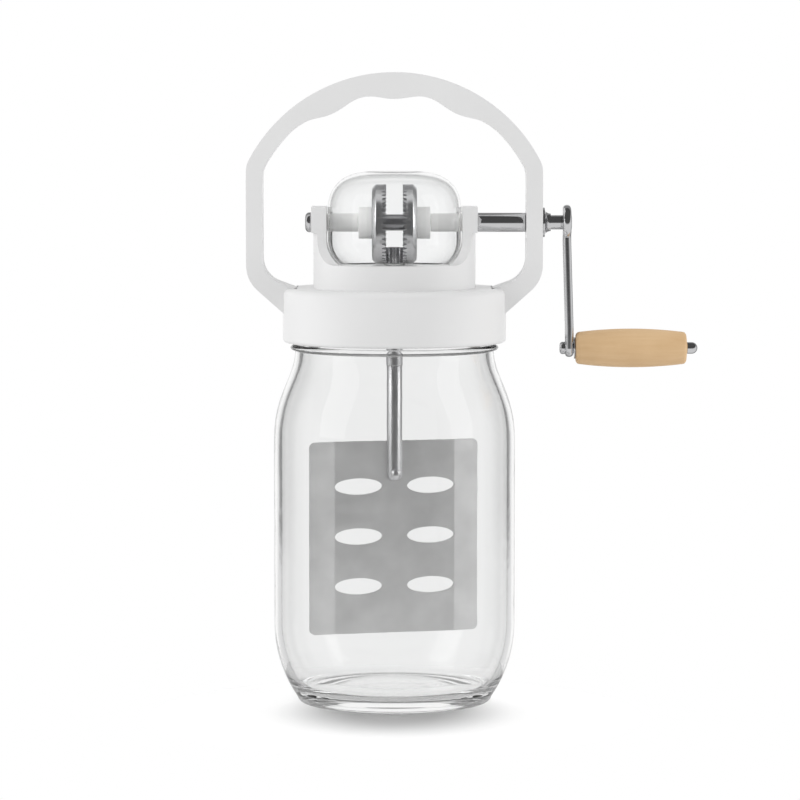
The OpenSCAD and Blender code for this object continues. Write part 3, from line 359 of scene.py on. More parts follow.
def arc(centre, radius, start, end, steps):
    """Points of an arc between two angles."""
    return [
        (centre[0] + radius * math.cos(a), centre[1] + radius * math.sin(a))
        for a in (start + (end - start) * s for s in shares(steps))
    ]


def along_shaft(node):
    """Both ends of a piece along X, and its radius round the shaft or the grip."""
    low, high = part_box(node)
    return low.x, high.x, (high.z - low.z) / 2


def along_axis(node):
    """Both ends of a piece along Z, and its radius round the jar's axis."""
    low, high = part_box(node)
    return low.z, high.z, high.x


def whole(bm):
    """All the geometry of a bmesh."""
    return bm.verts[:] + bm.edges[:] + bm.faces[:]


def wire(bm, points, closed):
    """Join (out, along) points into a wire in the XZ plane and return its vertices."""
    verts = [bm.verts.new((out, 0, along)) for out, along in points]
    ends = verts[1:] + verts[:1] if closed else verts[1:]
    for start, end in zip(verts, ends):
        bm.edges.new((start, end))
    return verts


def round_off(bm, verts, radius, segments):
    """Round corners of a wire."""
    bmesh.ops.bevel(
        bm, geom=verts, offset=radius, offset_type="OFFSET", affect="VERTICES",
        segments=segments, profile=0.5, material=-1,
    )


def weld(bm):
    """Close the seams and poles of a skin and point its faces outwards."""
    bmesh.ops.remove_doubles(bm, verts=bm.verts, dist=WELD)
    bmesh.ops.recalc_face_normals(bm, faces=bm.faces)


def lathe(points, closed, rounds=(), steps=RING_STEPS):
    """Spin a section once round +Z into a skin. Each round names corners, a radius and segments."""
    bm = bmesh.new()
    corners = wire(bm, points, closed)
    for places, radius, segments in rounds:
        round_off(bm, [corners[i] for i in places], radius, segments)
    bmesh.ops.spin(
        bm, geom=bm.verts[:] + bm.edges[:], cent=(0, 0, 0), axis=(0, 0, 1), angle=math.tau,
        steps=steps, use_merge=True,
    )
    weld(bm)
    return bm


def turned_ring(low, high, radius, bore, edge, steps=RING_STEPS):
    """Turned ring, or bar where the bore is 0, between two places along its axis."""
    section = [(bore, low), (radius, low), (radius, high), (bore, high)]
    return lathe(section, bore > 0, [((1, 2), edge, 3)], steps)


def thicken(bm, move):
    """Draw flat faces out into a closed solid."""
    made = bmesh.ops.extrude_face_region(bm, geom=bm.faces[:])
    far = [item for item in made["geom"] if isinstance(item, bmesh.types.BMVert)]
    bmesh.ops.translate(bm, vec=move, verts=far)
    weld(bm)


def cut(bm, point, normal):
    """Cut faces in two along a plane."""
    bmesh.ops.bisect_plane(bm, geom=whole(bm), dist=WELD, plane_co=point, plane_no=normal)


def soften(bm, width, segments, sharp=60):
    """Round every edge that is sharper than an angle in degrees."""
    limit = math.radians(sharp)
    edges = [edge for edge in bm.edges if edge.is_manifold and edge.calc_face_angle() > limit]
    bmesh.ops.bevel(
        bm, geom=edges, offset=width, offset_type="OFFSET", affect="EDGES", segments=segments,
        profile=0.5, material=-1, clamp_overlap=True,
    )


def finished(bm, node, sharp=40, at=ON_AXIS):
    """Make a piece of a bmesh that stands for a CAD node, with its place, body, slot and finish."""
    bmesh.ops.transform(bm, matrix=at, verts=bm.verts)
    mesh = bpy.data.meshes.new("fine_" + node)
    bm.to_mesh(mesh)
    bm.free()
    mesh.shade_smooth()
    mesh.set_sharp_from_angle(angle=math.radians(sharp))
    mesh.materials.append(finish_of(node))
    piece = bpy.data.objects.new(mesh.name, mesh)
    bpy.context.scene.collection.objects.link(piece)
    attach(piece, BODY_OF[node])
    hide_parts(node)
    return piece


def even_normals(piece):
    """Keep large faces flat beside rounded edges."""
    piece.modifiers.new("Even normals", "WEIGHTED_NORMAL").keep_sharp = True


def add_node(tree, kind, values=None, **settings):
    """Add a shader node with its settings and input values, each a value or a socket."""
    made = tree.nodes.new(kind)
    for name, value in settings.items():
        setattr(made, name, value)
    for name, value in (values or {}).items():
        if isinstance(value, bpy.types.NodeSocket):
            tree.links.new(value, made.inputs[name])
        else:
            made.inputs[name].default_value = value
    return made


def calc(tree, operation, *values, clamp=False):
    """Work out a value from others."""
    made = add_node(tree, "ShaderNodeMath", dict(enumerate(values)), operation=operation, use_clamp=clamp)
    return made.outputs["Value"]


def remap(tree, value, low, high, to_low=0.0, to_high=1.0, kind="LINEAR"):
    """Run a value from to_low to to_high while it runs from low to high."""
    values = {"Value": value, "From Min": low, "From Max": high, "To Min": to_low, "To Max": to_high}
    return add_node(tree, "ShaderNodeMapRange", values, interpolation_type=kind).outputs["Result"]


def choose(tree, mask, low, high):
    """Run a value from low to high by a mask."""
    values = {"Factor": mask, "A": low, "B": high}
    return add_node(tree, "ShaderNodeMix", values, data_type="FLOAT").outputs["Result"]


def solid(rgb):
    """Colour with full alpha."""
    return (*rgb, 1.0)


def new_group(name, inputs, outputs):
    """Start a shader node group with named float sockets and return it with its two ends."""
    group = bpy.data.node_groups.new(name, "ShaderNodeTree")
    sockets = group.interface
    for socket, value in inputs.items():
        sockets.new_socket(socket, in_out="INPUT", socket_type="NodeSocketFloat").default_value = value
    for socket in outputs:
        sockets.new_socket(socket, in_out="OUTPUT", socket_type="NodeSocketFloat")
    return group, group.nodes.new("NodeGroupInput"), group.nodes.new("NodeGroupOutput")


def spread_noise(group, values, end):
    """Lead a noise with its middle values spread from 0 to 1 to an output of a group."""
    noise = add_node(group, "ShaderNodeTexNoise", values)
    group.links.new(remap(group, noise.outputs["Fac"], *NOISE_SPREAD), end)


def surface_group():
    """Slow clouds and a fine grain over a surface, both from 0 to 1."""
    name = "Cloud and Grain"
    if name in bpy.data.node_groups:
        return bpy.data.node_groups[name]
    group, start, end = new_group(name, {"Cloud Scale": 30.0, "Grain Scale": 900.0}, ("Cloud", "Grain"))
    coords = add_node(group, "ShaderNodeTexCoord").outputs["Object"]
    for socket, detail in (("Cloud", 3.0), ("Grain", 2.0)):
        scale = start.outputs[socket + " Scale"]
        spread_noise(group, {"Vector": coords, "Scale": scale, "Detail": detail}, end.inputs[socket])
    return group


def streak_group():
    """Fine streaks along one direction, from 0 to 1."""
    name = "Streaks"
    if name in bpy.data.node_groups:
        return bpy.data.node_groups[name]
    scales = {"Scale X": 1.0, "Scale Y": 1.0, "Scale Z": 1.0}
    group, start, end = new_group(name, scales, ("Streak",))
    coords = add_node(group, "ShaderNodeTexCoord").outputs["Object"]
    stretch = add_node(
        group, "ShaderNodeCombineXYZ", {letter: start.outputs["Scale " + letter] for letter in "XYZ"}
    )
    scaled = add_node(
        group, "ShaderNodeVectorMath", {0: coords, 1: stretch.outputs["Vector"]}, operation="MULTIPLY"
    )
    noise = {"Vector": scaled.outputs["Vector"], "Scale": 1.0, "Detail": 4.0, "Roughness": 0.6}
    spread_noise(group, noise, end.inputs["Streak"])
    return group


def new_finish(name, **values):
    """Start a material with plain shader values and return it with its tree and shader."""
    material = bpy.data.materials.new(name)
    material.use_nodes = True
    shader = material.node_tree.nodes["Principled BSDF"]
    for socket, value in values.items():
        shader.inputs[socket.replace("_", " ")].default_value = value
    return material, material.node_tree, shader


def use_group(tree, group, **values):
    """Place a node group in a material with its own values and return its outputs."""
    named = {name.replace("_", " "): value for name, value in values.items()}
    return add_node(tree, "ShaderNodeGroup", named, node_tree=group).outputs


def vary_colour(tree, mask, shader, low, high):
    """Let a mask run the base colour between two colours."""
    mix = add_node(tree, "ShaderNodeMix", {"Factor": mask}, data_type="RGBA")
    sockets = {socket.identifier: socket for socket in (*mix.inputs, *mix.outputs)}
    sockets["A_Color"].default_value = solid(low)
    sockets["B_Color"].default_value = solid(high)
    tree.links.new(sockets["Result_Color"], shader.inputs["Base Color"])


def vary_roughness(tree, mask, shader, low, high):
    """Let a mask run the roughness between two values."""
    tree.links.new(remap(tree, mask, 0.0, 1.0, low, high), shader.inputs["Roughness"])


def emboss(tree, height, shader, strength, depth):
    """Let a height raise the surface's shading."""
    bump = add_node(tree, "ShaderNodeBump", {"Height": height, "Strength": strength, "Distance": depth})
    tree.links.new(bump.outputs["Normal"], shader.inputs["Normal"])


def plastic_finish(name, rgb, rough, grain, cloud=0.97, spread=0.05):
    """Moulded plastic: faint clouds in its colour and gloss, and a fine grain."""
    material, tree, shader = new_finish(name, IOR=1.46)
    marks = use_group(tree, surface_group(), Cloud_Scale=35.0, Grain_Scale=1400.0)
    vary_colour(tree, marks["Cloud"], shader, [c * cloud for c in rgb], rgb)
    vary_roughness(tree, marks["Cloud"], shader, rough - spread, rough + spread)
    emboss(tree, marks["Grain"], shader, grain, depth=0.1 * MM)
    return material


def metal_finish(name, rgb, rough, streaks, grain=0.02, cloud=0.93, spread=0.03):
    """Metal with streaks in its gloss and soft clouds in its tone."""
    material, tree, shader = new_finish(name, Metallic=1.0)
    lines = use_group(tree, streak_group(), Scale_X=streaks[0], Scale_Y=streaks[1], Scale_Z=streaks[2])
    marks = use_group(tree, surface_group(), Cloud_Scale=60.0, Grain_Scale=1500.0)
    vary_colour(tree, marks["Cloud"], shader, [c * cloud for c in rgb], rgb)
    vary_roughness(tree, lines["Streak"], shader, rough - spread, rough + spread)
    emboss(tree, lines["Streak"], shader, grain, depth=0.05 * MM)
    return material


def glass_finish(name, rgb, painted_edge_rgb, edge_w, ior, wave):
    """Clear glass whose tint darkens where it is seen edge on, for the eye and reflections but not for diffuse
    light: partly real edge absorption, mostly painted shade standing in for dark refracted contours; with the slow
    waves of a moulded wall.
    """
    grey = solid((0.35, 0.35, 0.35))
    material, tree, shader = new_finish(
        name, Roughness=0.0, IOR=ior, Transmission_Weight=1.0, Specular_Tint=grey
    )
    marks = use_group(tree, surface_group(), Cloud_Scale=45.0, Grain_Scale=500.0)
    facing = add_node(tree, "ShaderNodeLayerWeight", {"Blend": 0.5}).outputs["Facing"]
    inner_side = add_node(tree, "ShaderNodeNewGeometry").outputs["Backfacing"]
    bounces = add_node(tree, "ShaderNodeLightPath").outputs["Diffuse Depth"]
    # The sine of the ray's slant outside the glass, on both sides of its surface
    across = calc(tree, "SUBTRACT", facing, 1.0)
    square = calc(tree, "SUBTRACT", 1.0, calc(tree, "MULTIPLY", across, across), clamp=True)
    bent = calc(tree, "MULTIPLY_ADD", inner_side, ior - 1, 1.0)
    slant = calc(tree, "MULTIPLY", calc(tree, "POWER", square, 0.5), bent)
    # Painted shade: the edge mask darkens the base colour towards the edge tint, and diffuse rays skip it
    edge = remap(tree, slant, 1 - edge_w, 1.0)
    direct = calc(tree, "SUBTRACT", 1.0, bounces, clamp=True)
    vary_colour(tree, calc(tree, "MULTIPLY", edge, direct), shader, rgb, painted_edge_rgb)
    emboss(tree, marks["Cloud"], shader, wave, depth=MM)
    return material


def wood_finish(name, rgb, grain_rgb, rough, grain, streak_share):
    """Pale hardwood with its grain along the grip."""
    material, tree, shader = new_finish(name)
    lines = use_group(tree, streak_group(), Scale_X=35.0, Scale_Y=420.0, Scale_Z=420.0)
    marks = use_group(tree, surface_group(), Cloud_Scale=90.0, Grain_Scale=1200.0)
    clouds = calc(tree, "MULTIPLY", marks["Cloud"], 1 - streak_share)
    blend = calc(tree, "MULTIPLY_ADD", lines["Streak"], streak_share, clouds)
    vary_colour(tree, blend, shader, grain_rgb, rgb)
    vary_roughness(tree, lines["Streak"], shader, *rough)
    emboss(tree, lines["Streak"], shader, grain, depth=0.2 * MM)
    return material


# Maker, name, colours and values of the finish in each of the record's slots
FINISHES = {
    "clear_glass": (
        glass_finish, "Jar glass", ("glass", "glass_edge"), {"edge_w": 0.010, "ior": 1.5, "wave": 0.02}
    ),
    "clear_plastic": (
        glass_finish, "Dome plastic", ("dome", "dome_edge"), {"edge_w": 0.008, "ior": 1.47, "wave": 0.0}
    ),
    "white_plastic": (plastic_finish, "White plastic", ("plastic",), {"rough": 0.38, "grain": 0.05}),
    "nylon": (plastic_finish, "Nylon", ("nylon",), {"rough": 0.45, "grain": 0.05}),
    "silicone": (plastic_finish, "Silicone", ("silicone",), {"rough": 0.6, "grain": 0.1}),
    "chrome": (metal_finish, "Chrome", ("chrome",), {"rough": 0.09, "streaks": (40.0, 900.0, 900.0)}),
    "rod_steel": (metal_finish, "Rod steel", ("chrome",), {"rough": 0.36, "streaks": (900.0, 900.0, 60.0)}),
    "gear_steel": (metal_finish, "Gear steel", ("gear",), {"rough": 0.24, "streaks": (150.0, 500.0, 500.0)}),
    "plate_steel": (
        metal_finish, "Plate steel", ("plate",),
        {"rough": 0.52, "streaks": (25.0, 25.0, 900.0), "grain": 0.01, "cloud": 0.84},
    ),
    "grip_wood": (
        wood_finish, "Grip wood", ("wood", "wood_dark"),
        {"rough": (0.62, 0.5), "grain": 0.25, "streak_share": 0.6},
    ),
}

# Materials made so far, by slot
MADE_FINISHES = {}


def finish_of(node):
    """Material of a node's slot, made on first use."""
    slot = SLOT_OF[node]
    if slot not in MADE_FINISHES:
        make, name, colours, values = FINISHES[slot]
        settings = bpy.context.scene.churn.finish
        MADE_FINISHES[slot] = make(name, *(getattr(settings, rgb) for rgb in colours), **values)
    return MADE_FINISHES[slot]


def add_thread(bm, jar, wall_r, rise, root_w, low_z, steps_per_turn=72):
    """Add a right-hand thread that rises out of a wall, with its lower end at low_z."""
    section = [
        (wall_r, low_z - root_w / 2), (wall_r + rise, low_z - root_w / 4),
        (wall_r + rise, low_z + root_w / 4), (wall_r, low_z + root_w / 2),
    ]
    ridge = bmesh.new()
    first = wire(ridge, section, closed=True)
    first_edges = ridge.edges[:]
    made = bmesh.ops.spin(
        ridge, geom=first + first_edges, cent=(0, 0, 0), axis=(0, 0, 1), angle=math.tau * jar.thread_turns,
        dvec=(0, 0, jar.pitch / steps_per_turn), steps=round(steps_per_turn * jar.thread_turns),
    )
    last_edges = [item for item in made["geom_last"] if isinstance(item, bmesh.types.BMEdge)]
    for loop in (first_edges, last_edges):
        bmesh.ops.edgenet_fill(ridge, edges=loop)
    weld(ridge)
    mesh = bpy.data.meshes.new("thread")
    ridge.to_mesh(mesh)
    ridge.free()
    bm.from_mesh(mesh)
    bpy.data.meshes.remove(mesh)


def bend_points(before, corner, after, radius, steps=12):
    """Points of a round bend at a corner between two straight runs."""
    before, corner, after = Vector(before), Vector(corner), Vector(after)
    u = (before - corner).normalized()
    v = (after - corner).normalized()
    half = u.angle(v) / 2
    centre = corner + (u + v).normalized() * (radius / math.sin(half))
    start = corner + u * (radius / math.tan(half)) - centre
    end = corner + v * (radius / math.tan(half)) - centre
    first = math.atan2(start.y, start.x)
    sweep = math.remainder(math.atan2(end.y, end.x) - first, math.tau)
    return arc(centre, radius, first, first + sweep, steps)


def heel_points(wide, inset, top, low, steps=24):
    """Wall points of a heel from height low up to the straight wall at height top."""
    rise = top - low
    radius = (rise * rise + inset * inset) / (2 * inset)
    heights = [low + rise * s for s in shares(steps)]
    return [(wide - radius + math.sqrt(radius * radius - (top - z) ** 2), z) for z in heights]


def shoulder_points(jar, wide, narrow, top, steps=32):
    """Wall points of the shoulder from the straight wall up to the neck."""
    points = []
    for s in shares(steps):
        drawn_in = (1 - math.cos(math.pi * s**jar.shoulder_bias)) / 2
        points.append((wide - (wide - narrow) * drawn_in, top - jar.shoulder_h * (1 - s)))
    return points


def jar_outline(jar, radius, height):
    """Section of the jar from the middle of its foot, up its outside and down its hollow."""
    foot_r = radius - jar.heel_in - jar.foot_round
    ring_r = foot_r - jar.foot_ring
    rim_z = height - jar.rim_round
    bead_z = height - jar.neck_h
    shoulder_top = bead_z - jar.bead_h
    mouth_r = jar.neck_r - jar.neck_wall
    underside = [(ring_r * s, jar.push_up * (1 - s * s)) for s in shares(10)]
    foot = [
        (foot_r + jar.foot_round * math.sin(a), jar.foot_h * (1 - math.cos(a)))
        for a in (math.pi / 2 * s for s in shares(6)[:-1])
    ]
    bead = []
    for a in (math.pi * s for s in shares(12)[1:]):
        out = jar.bead_out * max(0, math.sin(a)) ** jar.bead_power
        bead.append((jar.neck_r + out, bead_z - jar.bead_h / 2 * (1 + math.cos(a))))
    heel = heel_points(radius - jar.wall, jar.hollow_in, jar.heel_h, jar.floor)
    quarter_up = heel[len(heel) // 4]
    hollow_low = bend_points(quarter_up, heel[0], (0, jar.floor), jar.hollow_round)
    floor_r = hollow_low[-1][0]
    raised = [
        (floor_r * s, jar.floor + jar.push_up * (1 + math.cos(math.pi * s)) / 2)
        for s in reversed(shares(12)[:-1])
    ]
    outside = (
        underside
        + foot
        + heel_points(radius, jar.heel_in, jar.heel_h, jar.foot_h)
        + shoulder_points(jar, radius, jar.neck_r, shoulder_top)
        + bead
        + arc((jar.neck_r - jar.rim_round, rim_z), jar.rim_round, 0, math.pi / 2, steps=6)
    )
    hollow = (
        arc((mouth_r + jar.rim_round, rim_z), jar.rim_round, math.pi / 2, math.pi, steps=6)
        + shoulder_points(jar, radius - jar.wall, mouth_r, shoulder_top)[::-1]
        + [point for point in heel[::-1] if point[1] > hollow_low[0][1] + CLEAR]
        + hollow_low
        + raised
    )
    return outside + hollow


def make_jar(jar):
    """Glass jar with its thread."""
    _, high, radius = along_axis("glass_jar")
    bm = lathe(jar_outline(jar, radius, high), closed=False, steps=JAR_STEPS)
    thread_low = high - jar.thread_top - jar.pitch * jar.thread_turns
    add_thread(bm, jar, jar.neck_r, jar.thread_out, jar.thread_w, thread_low)
    finished(bm, "glass_jar", sharp=60).visible_shadow = False


def make_lid(lid, jar):
    """Collar of the screw lid with its thread inside."""
    low, high, radius = along_axis("screw_lid")
    inside = radius - lid.wall
    under = high - lid.deck
    section = [
        (lid.bore_r, high), (radius, high), (radius, low),
        (inside, low), (inside, under), (lid.bore_r, under),
    ]
    rounds = [((1,), lid.top_round, 6), ((2,), lid.low_round, 5), ((3,), lid.in_round, 2)]
    bm = lathe(section, True, rounds, LID_STEPS)
    add_thread(bm, jar, inside, -lid.thread_in, lid.thread_w, low + lid.thread_low)
    even_normals(finished(bm, "screw_lid"))


def on_slope(start, slope, x):
    """Point at x on a line that leaves start at a slope."""
    return (x, start[1] + (x - start[0]) * math.tan(slope))


def hold_share(handle, a):
    """Swell of the hand hold at an angle from the top of the arch, from 0 to 1."""
    s = (handle.hold_from - a) / (handle.hold_from - handle.hold_to)
    s = min(1, max(0, s))
    return s * s * (3 - 2 * s)


def arch_points(handle, leg_x, arch_z, low_z, inner, steps=72):
    """Half of the arch's outline from its top, which runs down into a leg at leg_x."""
    last = math.pi / 2 + math.atan((arch_z - low_z) / leg_x)
    points = []
    for a in (last * s for s in shares(steps)):
        wide = handle.arch_r
        if inner:
            wave = handle.wave_h * math.cos(math.tau * a / handle.wave_angle)
            wide -= handle.arch_t + hold_share(handle, a) * (handle.hold_t + wave)
        reach = wide * (1 + (wide * math.sin(a) / leg_x) ** handle.blend) ** (-1 / handle.blend)
        points.append((reach * math.sin(a), arch_z + reach * math.cos(a)))
    return points


def handle_sides(handle, leg_x, top_z, lid_r, lid_top):
    """Right half of the handle's outside and inside, from the top down to the foot."""
    arch_z = top_z - handle.arch_r
    inner_x = leg_x - handle.leg_t
    foot = (lid_r, lid_top - handle.foot_drop)
    toe = (lid_r - handle.toe_reach, lid_top)
    foot_corner = on_slope(foot, handle.foot_slope, leg_x)
    toe_corner = on_slope(toe, handle.toe_slope, inner_x)
    out_low = foot_corner[1] + handle.out_r * math.tan((math.pi / 2 - handle.foot_slope) / 2)
    in_low = toe_corner[1] + handle.in_r * math.tan((math.pi / 2 - handle.toe_slope) / 2)
    sunk_x = lid_r - handle.sink
    outside = (
        arch_points(handle, leg_x, arch_z, out_low + CLEAR, inner=False)
        + bend_points((leg_x, arch_z), foot_corner, foot, handle.out_r)
        + [on_slope(foot, handle.foot_slope, sunk_x), (sunk_x, lid_top - handle.sink)]
    )
    inside = (
        arch_points(handle, inner_x, arch_z, in_low + CLEAR, inner=True)
        + bend_points((inner_x, arch_z), toe_corner, toe, handle.in_r)
        + [toe, (toe[0], lid_top - handle.sink / 2)]
    )
    return outside, inside


def make_handle(handle):
    """Arched carry handle with finger waves."""
    low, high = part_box("carry_handle")
    _, lid_top, lid_r = along_axis("screw_lid")
    bm = bmesh.new()
    for side in handle_sides(handle, high.x, high.z, lid_r, lid_top):
        for vert in wire(bm, side, closed=False):
            vert.co.y = low.y
    bmesh.ops.bridge_loops(bm, edges=bm.edges[:])
    bmesh.ops.mirror(bm, geom=whole(bm), axis="X", merge_dist=WELD)
    thicken(bm, (0, high.y - low.y, 0))
    soften(bm, handle.edge, segments=4)
    even_normals(finished(bm, "carry_handle"))


def make_housing(housing):
    """Drum with its yoke and ears: the CAD node with its flat faces joined and its edges rounded."""
    bm = bmesh.new()
    bm.from_mesh(frame["nodes"]["gear_housing"].data)
    bmesh.ops.remove_doubles(bm, verts=bm.verts, dist=CAD_WELD)
    bmesh.ops.dissolve_limit(bm, angle_limit=FLAT, verts=bm.verts[:], edges=bm.edges[:])
    soften(bm, housing.edge, segments=3, sharp=35)
    even_normals(finished(bm, "gear_housing"))


def dome_side(housing, radius, deck, wall, low_wall, roof, steps=40):
    """Section of the dome from its top to its lower edge, set in by a wall, a low wall and a roof."""
    crown_z = deck + housing.dome_h - housing.crown_h
    roof_z = deck + housing.dome_h - roof
    power = 2 / housing.crown_power
    points = []
    for a in (math.pi / 2 * (1 - s) for s in shares(steps)):
        out = (radius - wall) * max(0, math.cos(a)) ** power
        rise = (housing.crown_h - wall) * math.sin(a) ** power
        points.append((out, min(crown_z + rise, roof_z)))
    points[0] = (0, points[0][1])
    last = -math.asin(housing.low_h / (housing.low_r - low_wall))
    for s in shares(steps)[1:]:
        low_r = housing.low_r - wall - (low_wall - wall) * s
        out = radius - housing.low_r + low_r * math.cos(last * s)
        points.append((out, deck + housing.low_h + low_r * math.sin(last * s)))
    return points


def make_cover(housing):
    """Clear dome over the gears, with slots for the shaft's sleeves."""
    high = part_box("gear_cover")[1]
    deck = high.z - housing.dome_h
    outside = dome_side(housing, high.y, deck, 0, 0, 0)
    inside = dome_side(housing, high.y, deck, housing.wall, housing.low_wall, housing.roof)
    bm = lathe(outside + inside[::-1], closed=False, steps=LID_STEPS)
    slot_top = SHAFT_Z + housing.slot_rise
    for side in (1, -1):
        cut(bm, (0, side * housing.slot, 0), (0, 1, 0))
    cut(bm, (0, 0, slot_top), (0, 0, 1))
    gone = []
    for face in bm.faces:
        middle = face.calc_center_median()
        if abs(middle.y) < housing.slot and middle.z < slot_top and abs(middle.x) > high.y / 2:
            gone.append(face)
    bmesh.ops.delete(bm, geom=gone, context="FACES")
    for side in (-1, 1):
        rim = [edge for edge in bm.edges if edge.is_boundary and edge.verts[0].co.x * side > 0]
        walls = [edge for edge in rim if max(vert.co.z for vert in edge.verts) > deck + WELD]
        bmesh.ops.bridge_loops(bm, edges=walls)
    bmesh.ops.recalc_face_normals(bm, faces=bm.faces)
    finished(bm, "gear_cover", sharp=50).visible_shadow = False


def add_teeth(bm, count, radii, heights, root_w, tip_w, outward, shift=0):
    """Add teeth round +Z that taper outwards, or else down Z. The first is turned by a share of a step."""
    step = math.tau / count
    tooth = bmesh.ops.create_cube(bm, size=1)["verts"]
    for vert in tooth:
        x, y, z = vert.co
        at_tip = x > 0 if outward else z < 0
        width = tip_w if at_tip else root_w
        vert.co = (radii[x > 0], math.copysign(width / 2, y), heights[z > 0])
    bmesh.ops.rotate(bm, verts=tooth, cent=(0, 0, 0), matrix=Matrix.Rotation(shift * step, 3, "Z"))
    faces = dict.fromkeys(face for vert in tooth for face in vert.link_faces)
    edges = dict.fromkeys(edge for vert in tooth for edge in vert.link_edges)
    bmesh.ops.spin(
        bm, geom=[*tooth, *edges, *faces], cent=(0, 0, 0), axis=(0, 0, 1), angle=step * (count - 1),
        steps=count - 1, use_duplicate=True,
    )


def crown_gear(gears, bore):
    """Crown gear along +Z with its teeth towards the origin."""
    tip, back, radius = along_shaft("driver_gear")
    face = back - gears.body_t
    web = face + gears.dish
    teeth_r = radius - gears.rim
    inner_r = teeth_r - gears.tooth_l
    dish_r = inner_r - gears.inner_rim
    section = [
        (bore, web), (dish_r, web), (dish_r, face), (radius, face),
        (radius, back - gears.bevel), (radius - gears.bevel, back), (bore, back),
    ]
    bm = lathe(section, True, [((2, 3, 4, 5), gears.edge, 2)], GEAR_STEPS)
    heights = (tip, face + gears.edge)
    add_teeth(
        bm, gears.teeth, (inner_r, teeth_r), heights, gears.root_w, gears.tip_w, outward=False, shift=0.5
    )
    return bm


def make_gears(gears, crank):
    """Two facing crown gears and the pinion between them."""
    for node, facing in (("driver_gear", 0), ("idler_gear", math.pi)):
        bm = crown_gear(gears, crank.bore_r)
        finished(bm, node, sharp=30, at=Matrix.Rotation(facing, 4, "Z") @ ON_SHAFT)
    low, high, tip_r = along_axis("pinion")
    root_r = gears.pinion_root_r
    bm = turned_ring(low, high, root_r, crank.spindle_r, gears.edge, PIN_STEPS)
    heights = (low + gears.edge, high - gears.edge)
    add_teeth(
        bm, gears.pinion_teeth, (root_r - gears.edge, tip_r), heights, gears.pinion_root_w, gears.tip_w,
        outward=True,
    )
    finished(bm, "pinion", sharp=30)


# Plain rings on the crank's shaft, and on the spindle and the dasher's rod
SHAFT_RINGS = (
    "left_sleeve", "right_sleeve", "driver_hub", "idler_hub", "shaft_tube",
    "left_shaft_bush", "right_shaft_bush", "handle_bush", "shaft_end_washer",
)
AXIS_RINGS = ("coupling_sleeve", "spindle_seal", "thrust_washer")


def make_rings(crank, lid, jar):
    """Sleeves, hubs, bushes, washers and tubes, and the ridged spacer between the gears."""
    for node in SHAFT_RINGS:
        finished(turned_ring(*along_shaft(node), crank.bore_r, crank.edge), node, at=ON_SHAFT)
    low, high, radius = along_shaft("gear_spacer")
    ridges = round((high - low) / crank.ridge)
    flanks = shares(2 * ridges)
    outline = [
        (radius - crank.ridge / 2 * (1 - i % 2), low + (high - low) * s) for i, s in enumerate(flanks)
    ]
    section = [(crank.bore_r, low), *outline, (crank.bore_r, high)]
    finished(lathe(section, closed=True), "gear_spacer", sharp=30, at=ON_SHAFT)
    for node in AXIS_RINGS:
        finished(turned_ring(*along_axis(node), crank.spindle_r, crank.edge), node)
    gasket_r = jar.neck_r - jar.neck_wall - lid.gasket_in
    finished(turned_ring(*along_axis("lid_gasket"), gasket_r, crank.edge), "lid_gasket")


def make_pin(node, head_h, head_round, shank_r, segments, at):
    """Pin along X with a rounded head at its left end."""
    low, high, head_r = along_shaft(node)
    base = low + head_h
    section = [(0, low), (head_r, low), (head_r, base), (shank_r, base), (shank_r, high), (0, high)]
    finished(lathe(section, False, [((1,), head_round, segments)], PIN_STEPS), node, at=at)


def make_shaft(crank):
    """Crank shaft with its end screw, and the bell-shaped flange."""
    low, high, _ = along_shaft("crank_shaft")
    bm = turned_ring(low, high + crank.edge, crank.shaft_r, 0, crank.edge)
    finished(bm, "crank_shaft", at=ON_SHAFT)
    make_pin(
        "shaft_end_screw", crank.end_screw_h, crank.end_round, crank.end_shank_r, segments=8, at=ON_SHAFT
    )
    low, high, radius = along_shaft("crank_flange")
    drop = radius - crank.flange_neck_r
    rise = high - low - crank.flange_rim
    curve = [
        (radius - drop * math.sin(a), high - rise * math.cos(a))
        for a in (math.pi / 2 * s for s in shares(10))
    ]
    section = [(crank.bore_r, low), (radius, low), *curve, (crank.bore_r, high)]
    finished(lathe(section, closed=True), "crank_flange", at=ON_SHAFT)


def make_arm(crank):
    """Flat crank arm with an eye at each end, which leans out towards the grip."""
    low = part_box("crank_arm")[0]
    half = crank.arm_w / 2
    top_a = math.asin(half / crank.arm_top_r)
    low_a = math.asin(min(1, half / crank.arm_low_r))
    quarter = math.pi / 2
    outline = arc((0, SHAFT_Z), crank.arm_top_r, top_a - quarter, 3 * quarter - top_a, steps=32)
    outline += arc((0, GRIP_Z), crank.arm_low_r, quarter + low_a, 5 * quarter - low_a, steps=24)
    bm = bmesh.new()
    bm.faces.new([bm.verts.new((low.x, y, z)) for y, z in outline])
    thicken(bm, (crank.arm_t, 0, 0))
    soften(bm, crank.arm_edge, segments=4)
    bend_top = SHAFT_Z - crank.arm_end
    bend_low = GRIP_Z + crank.arm_end
    for z in (bend_top, bend_low):
        cut(bm, (0, 0, z), (0, 0, 1))
    for vert in bm.verts:
        share = (bend_top - vert.co.z) / (bend_top - bend_low)
        vert.co.x += crank.arm_lean * min(1, max(0, share))
    even_normals(finished(bm, "crank_arm"))


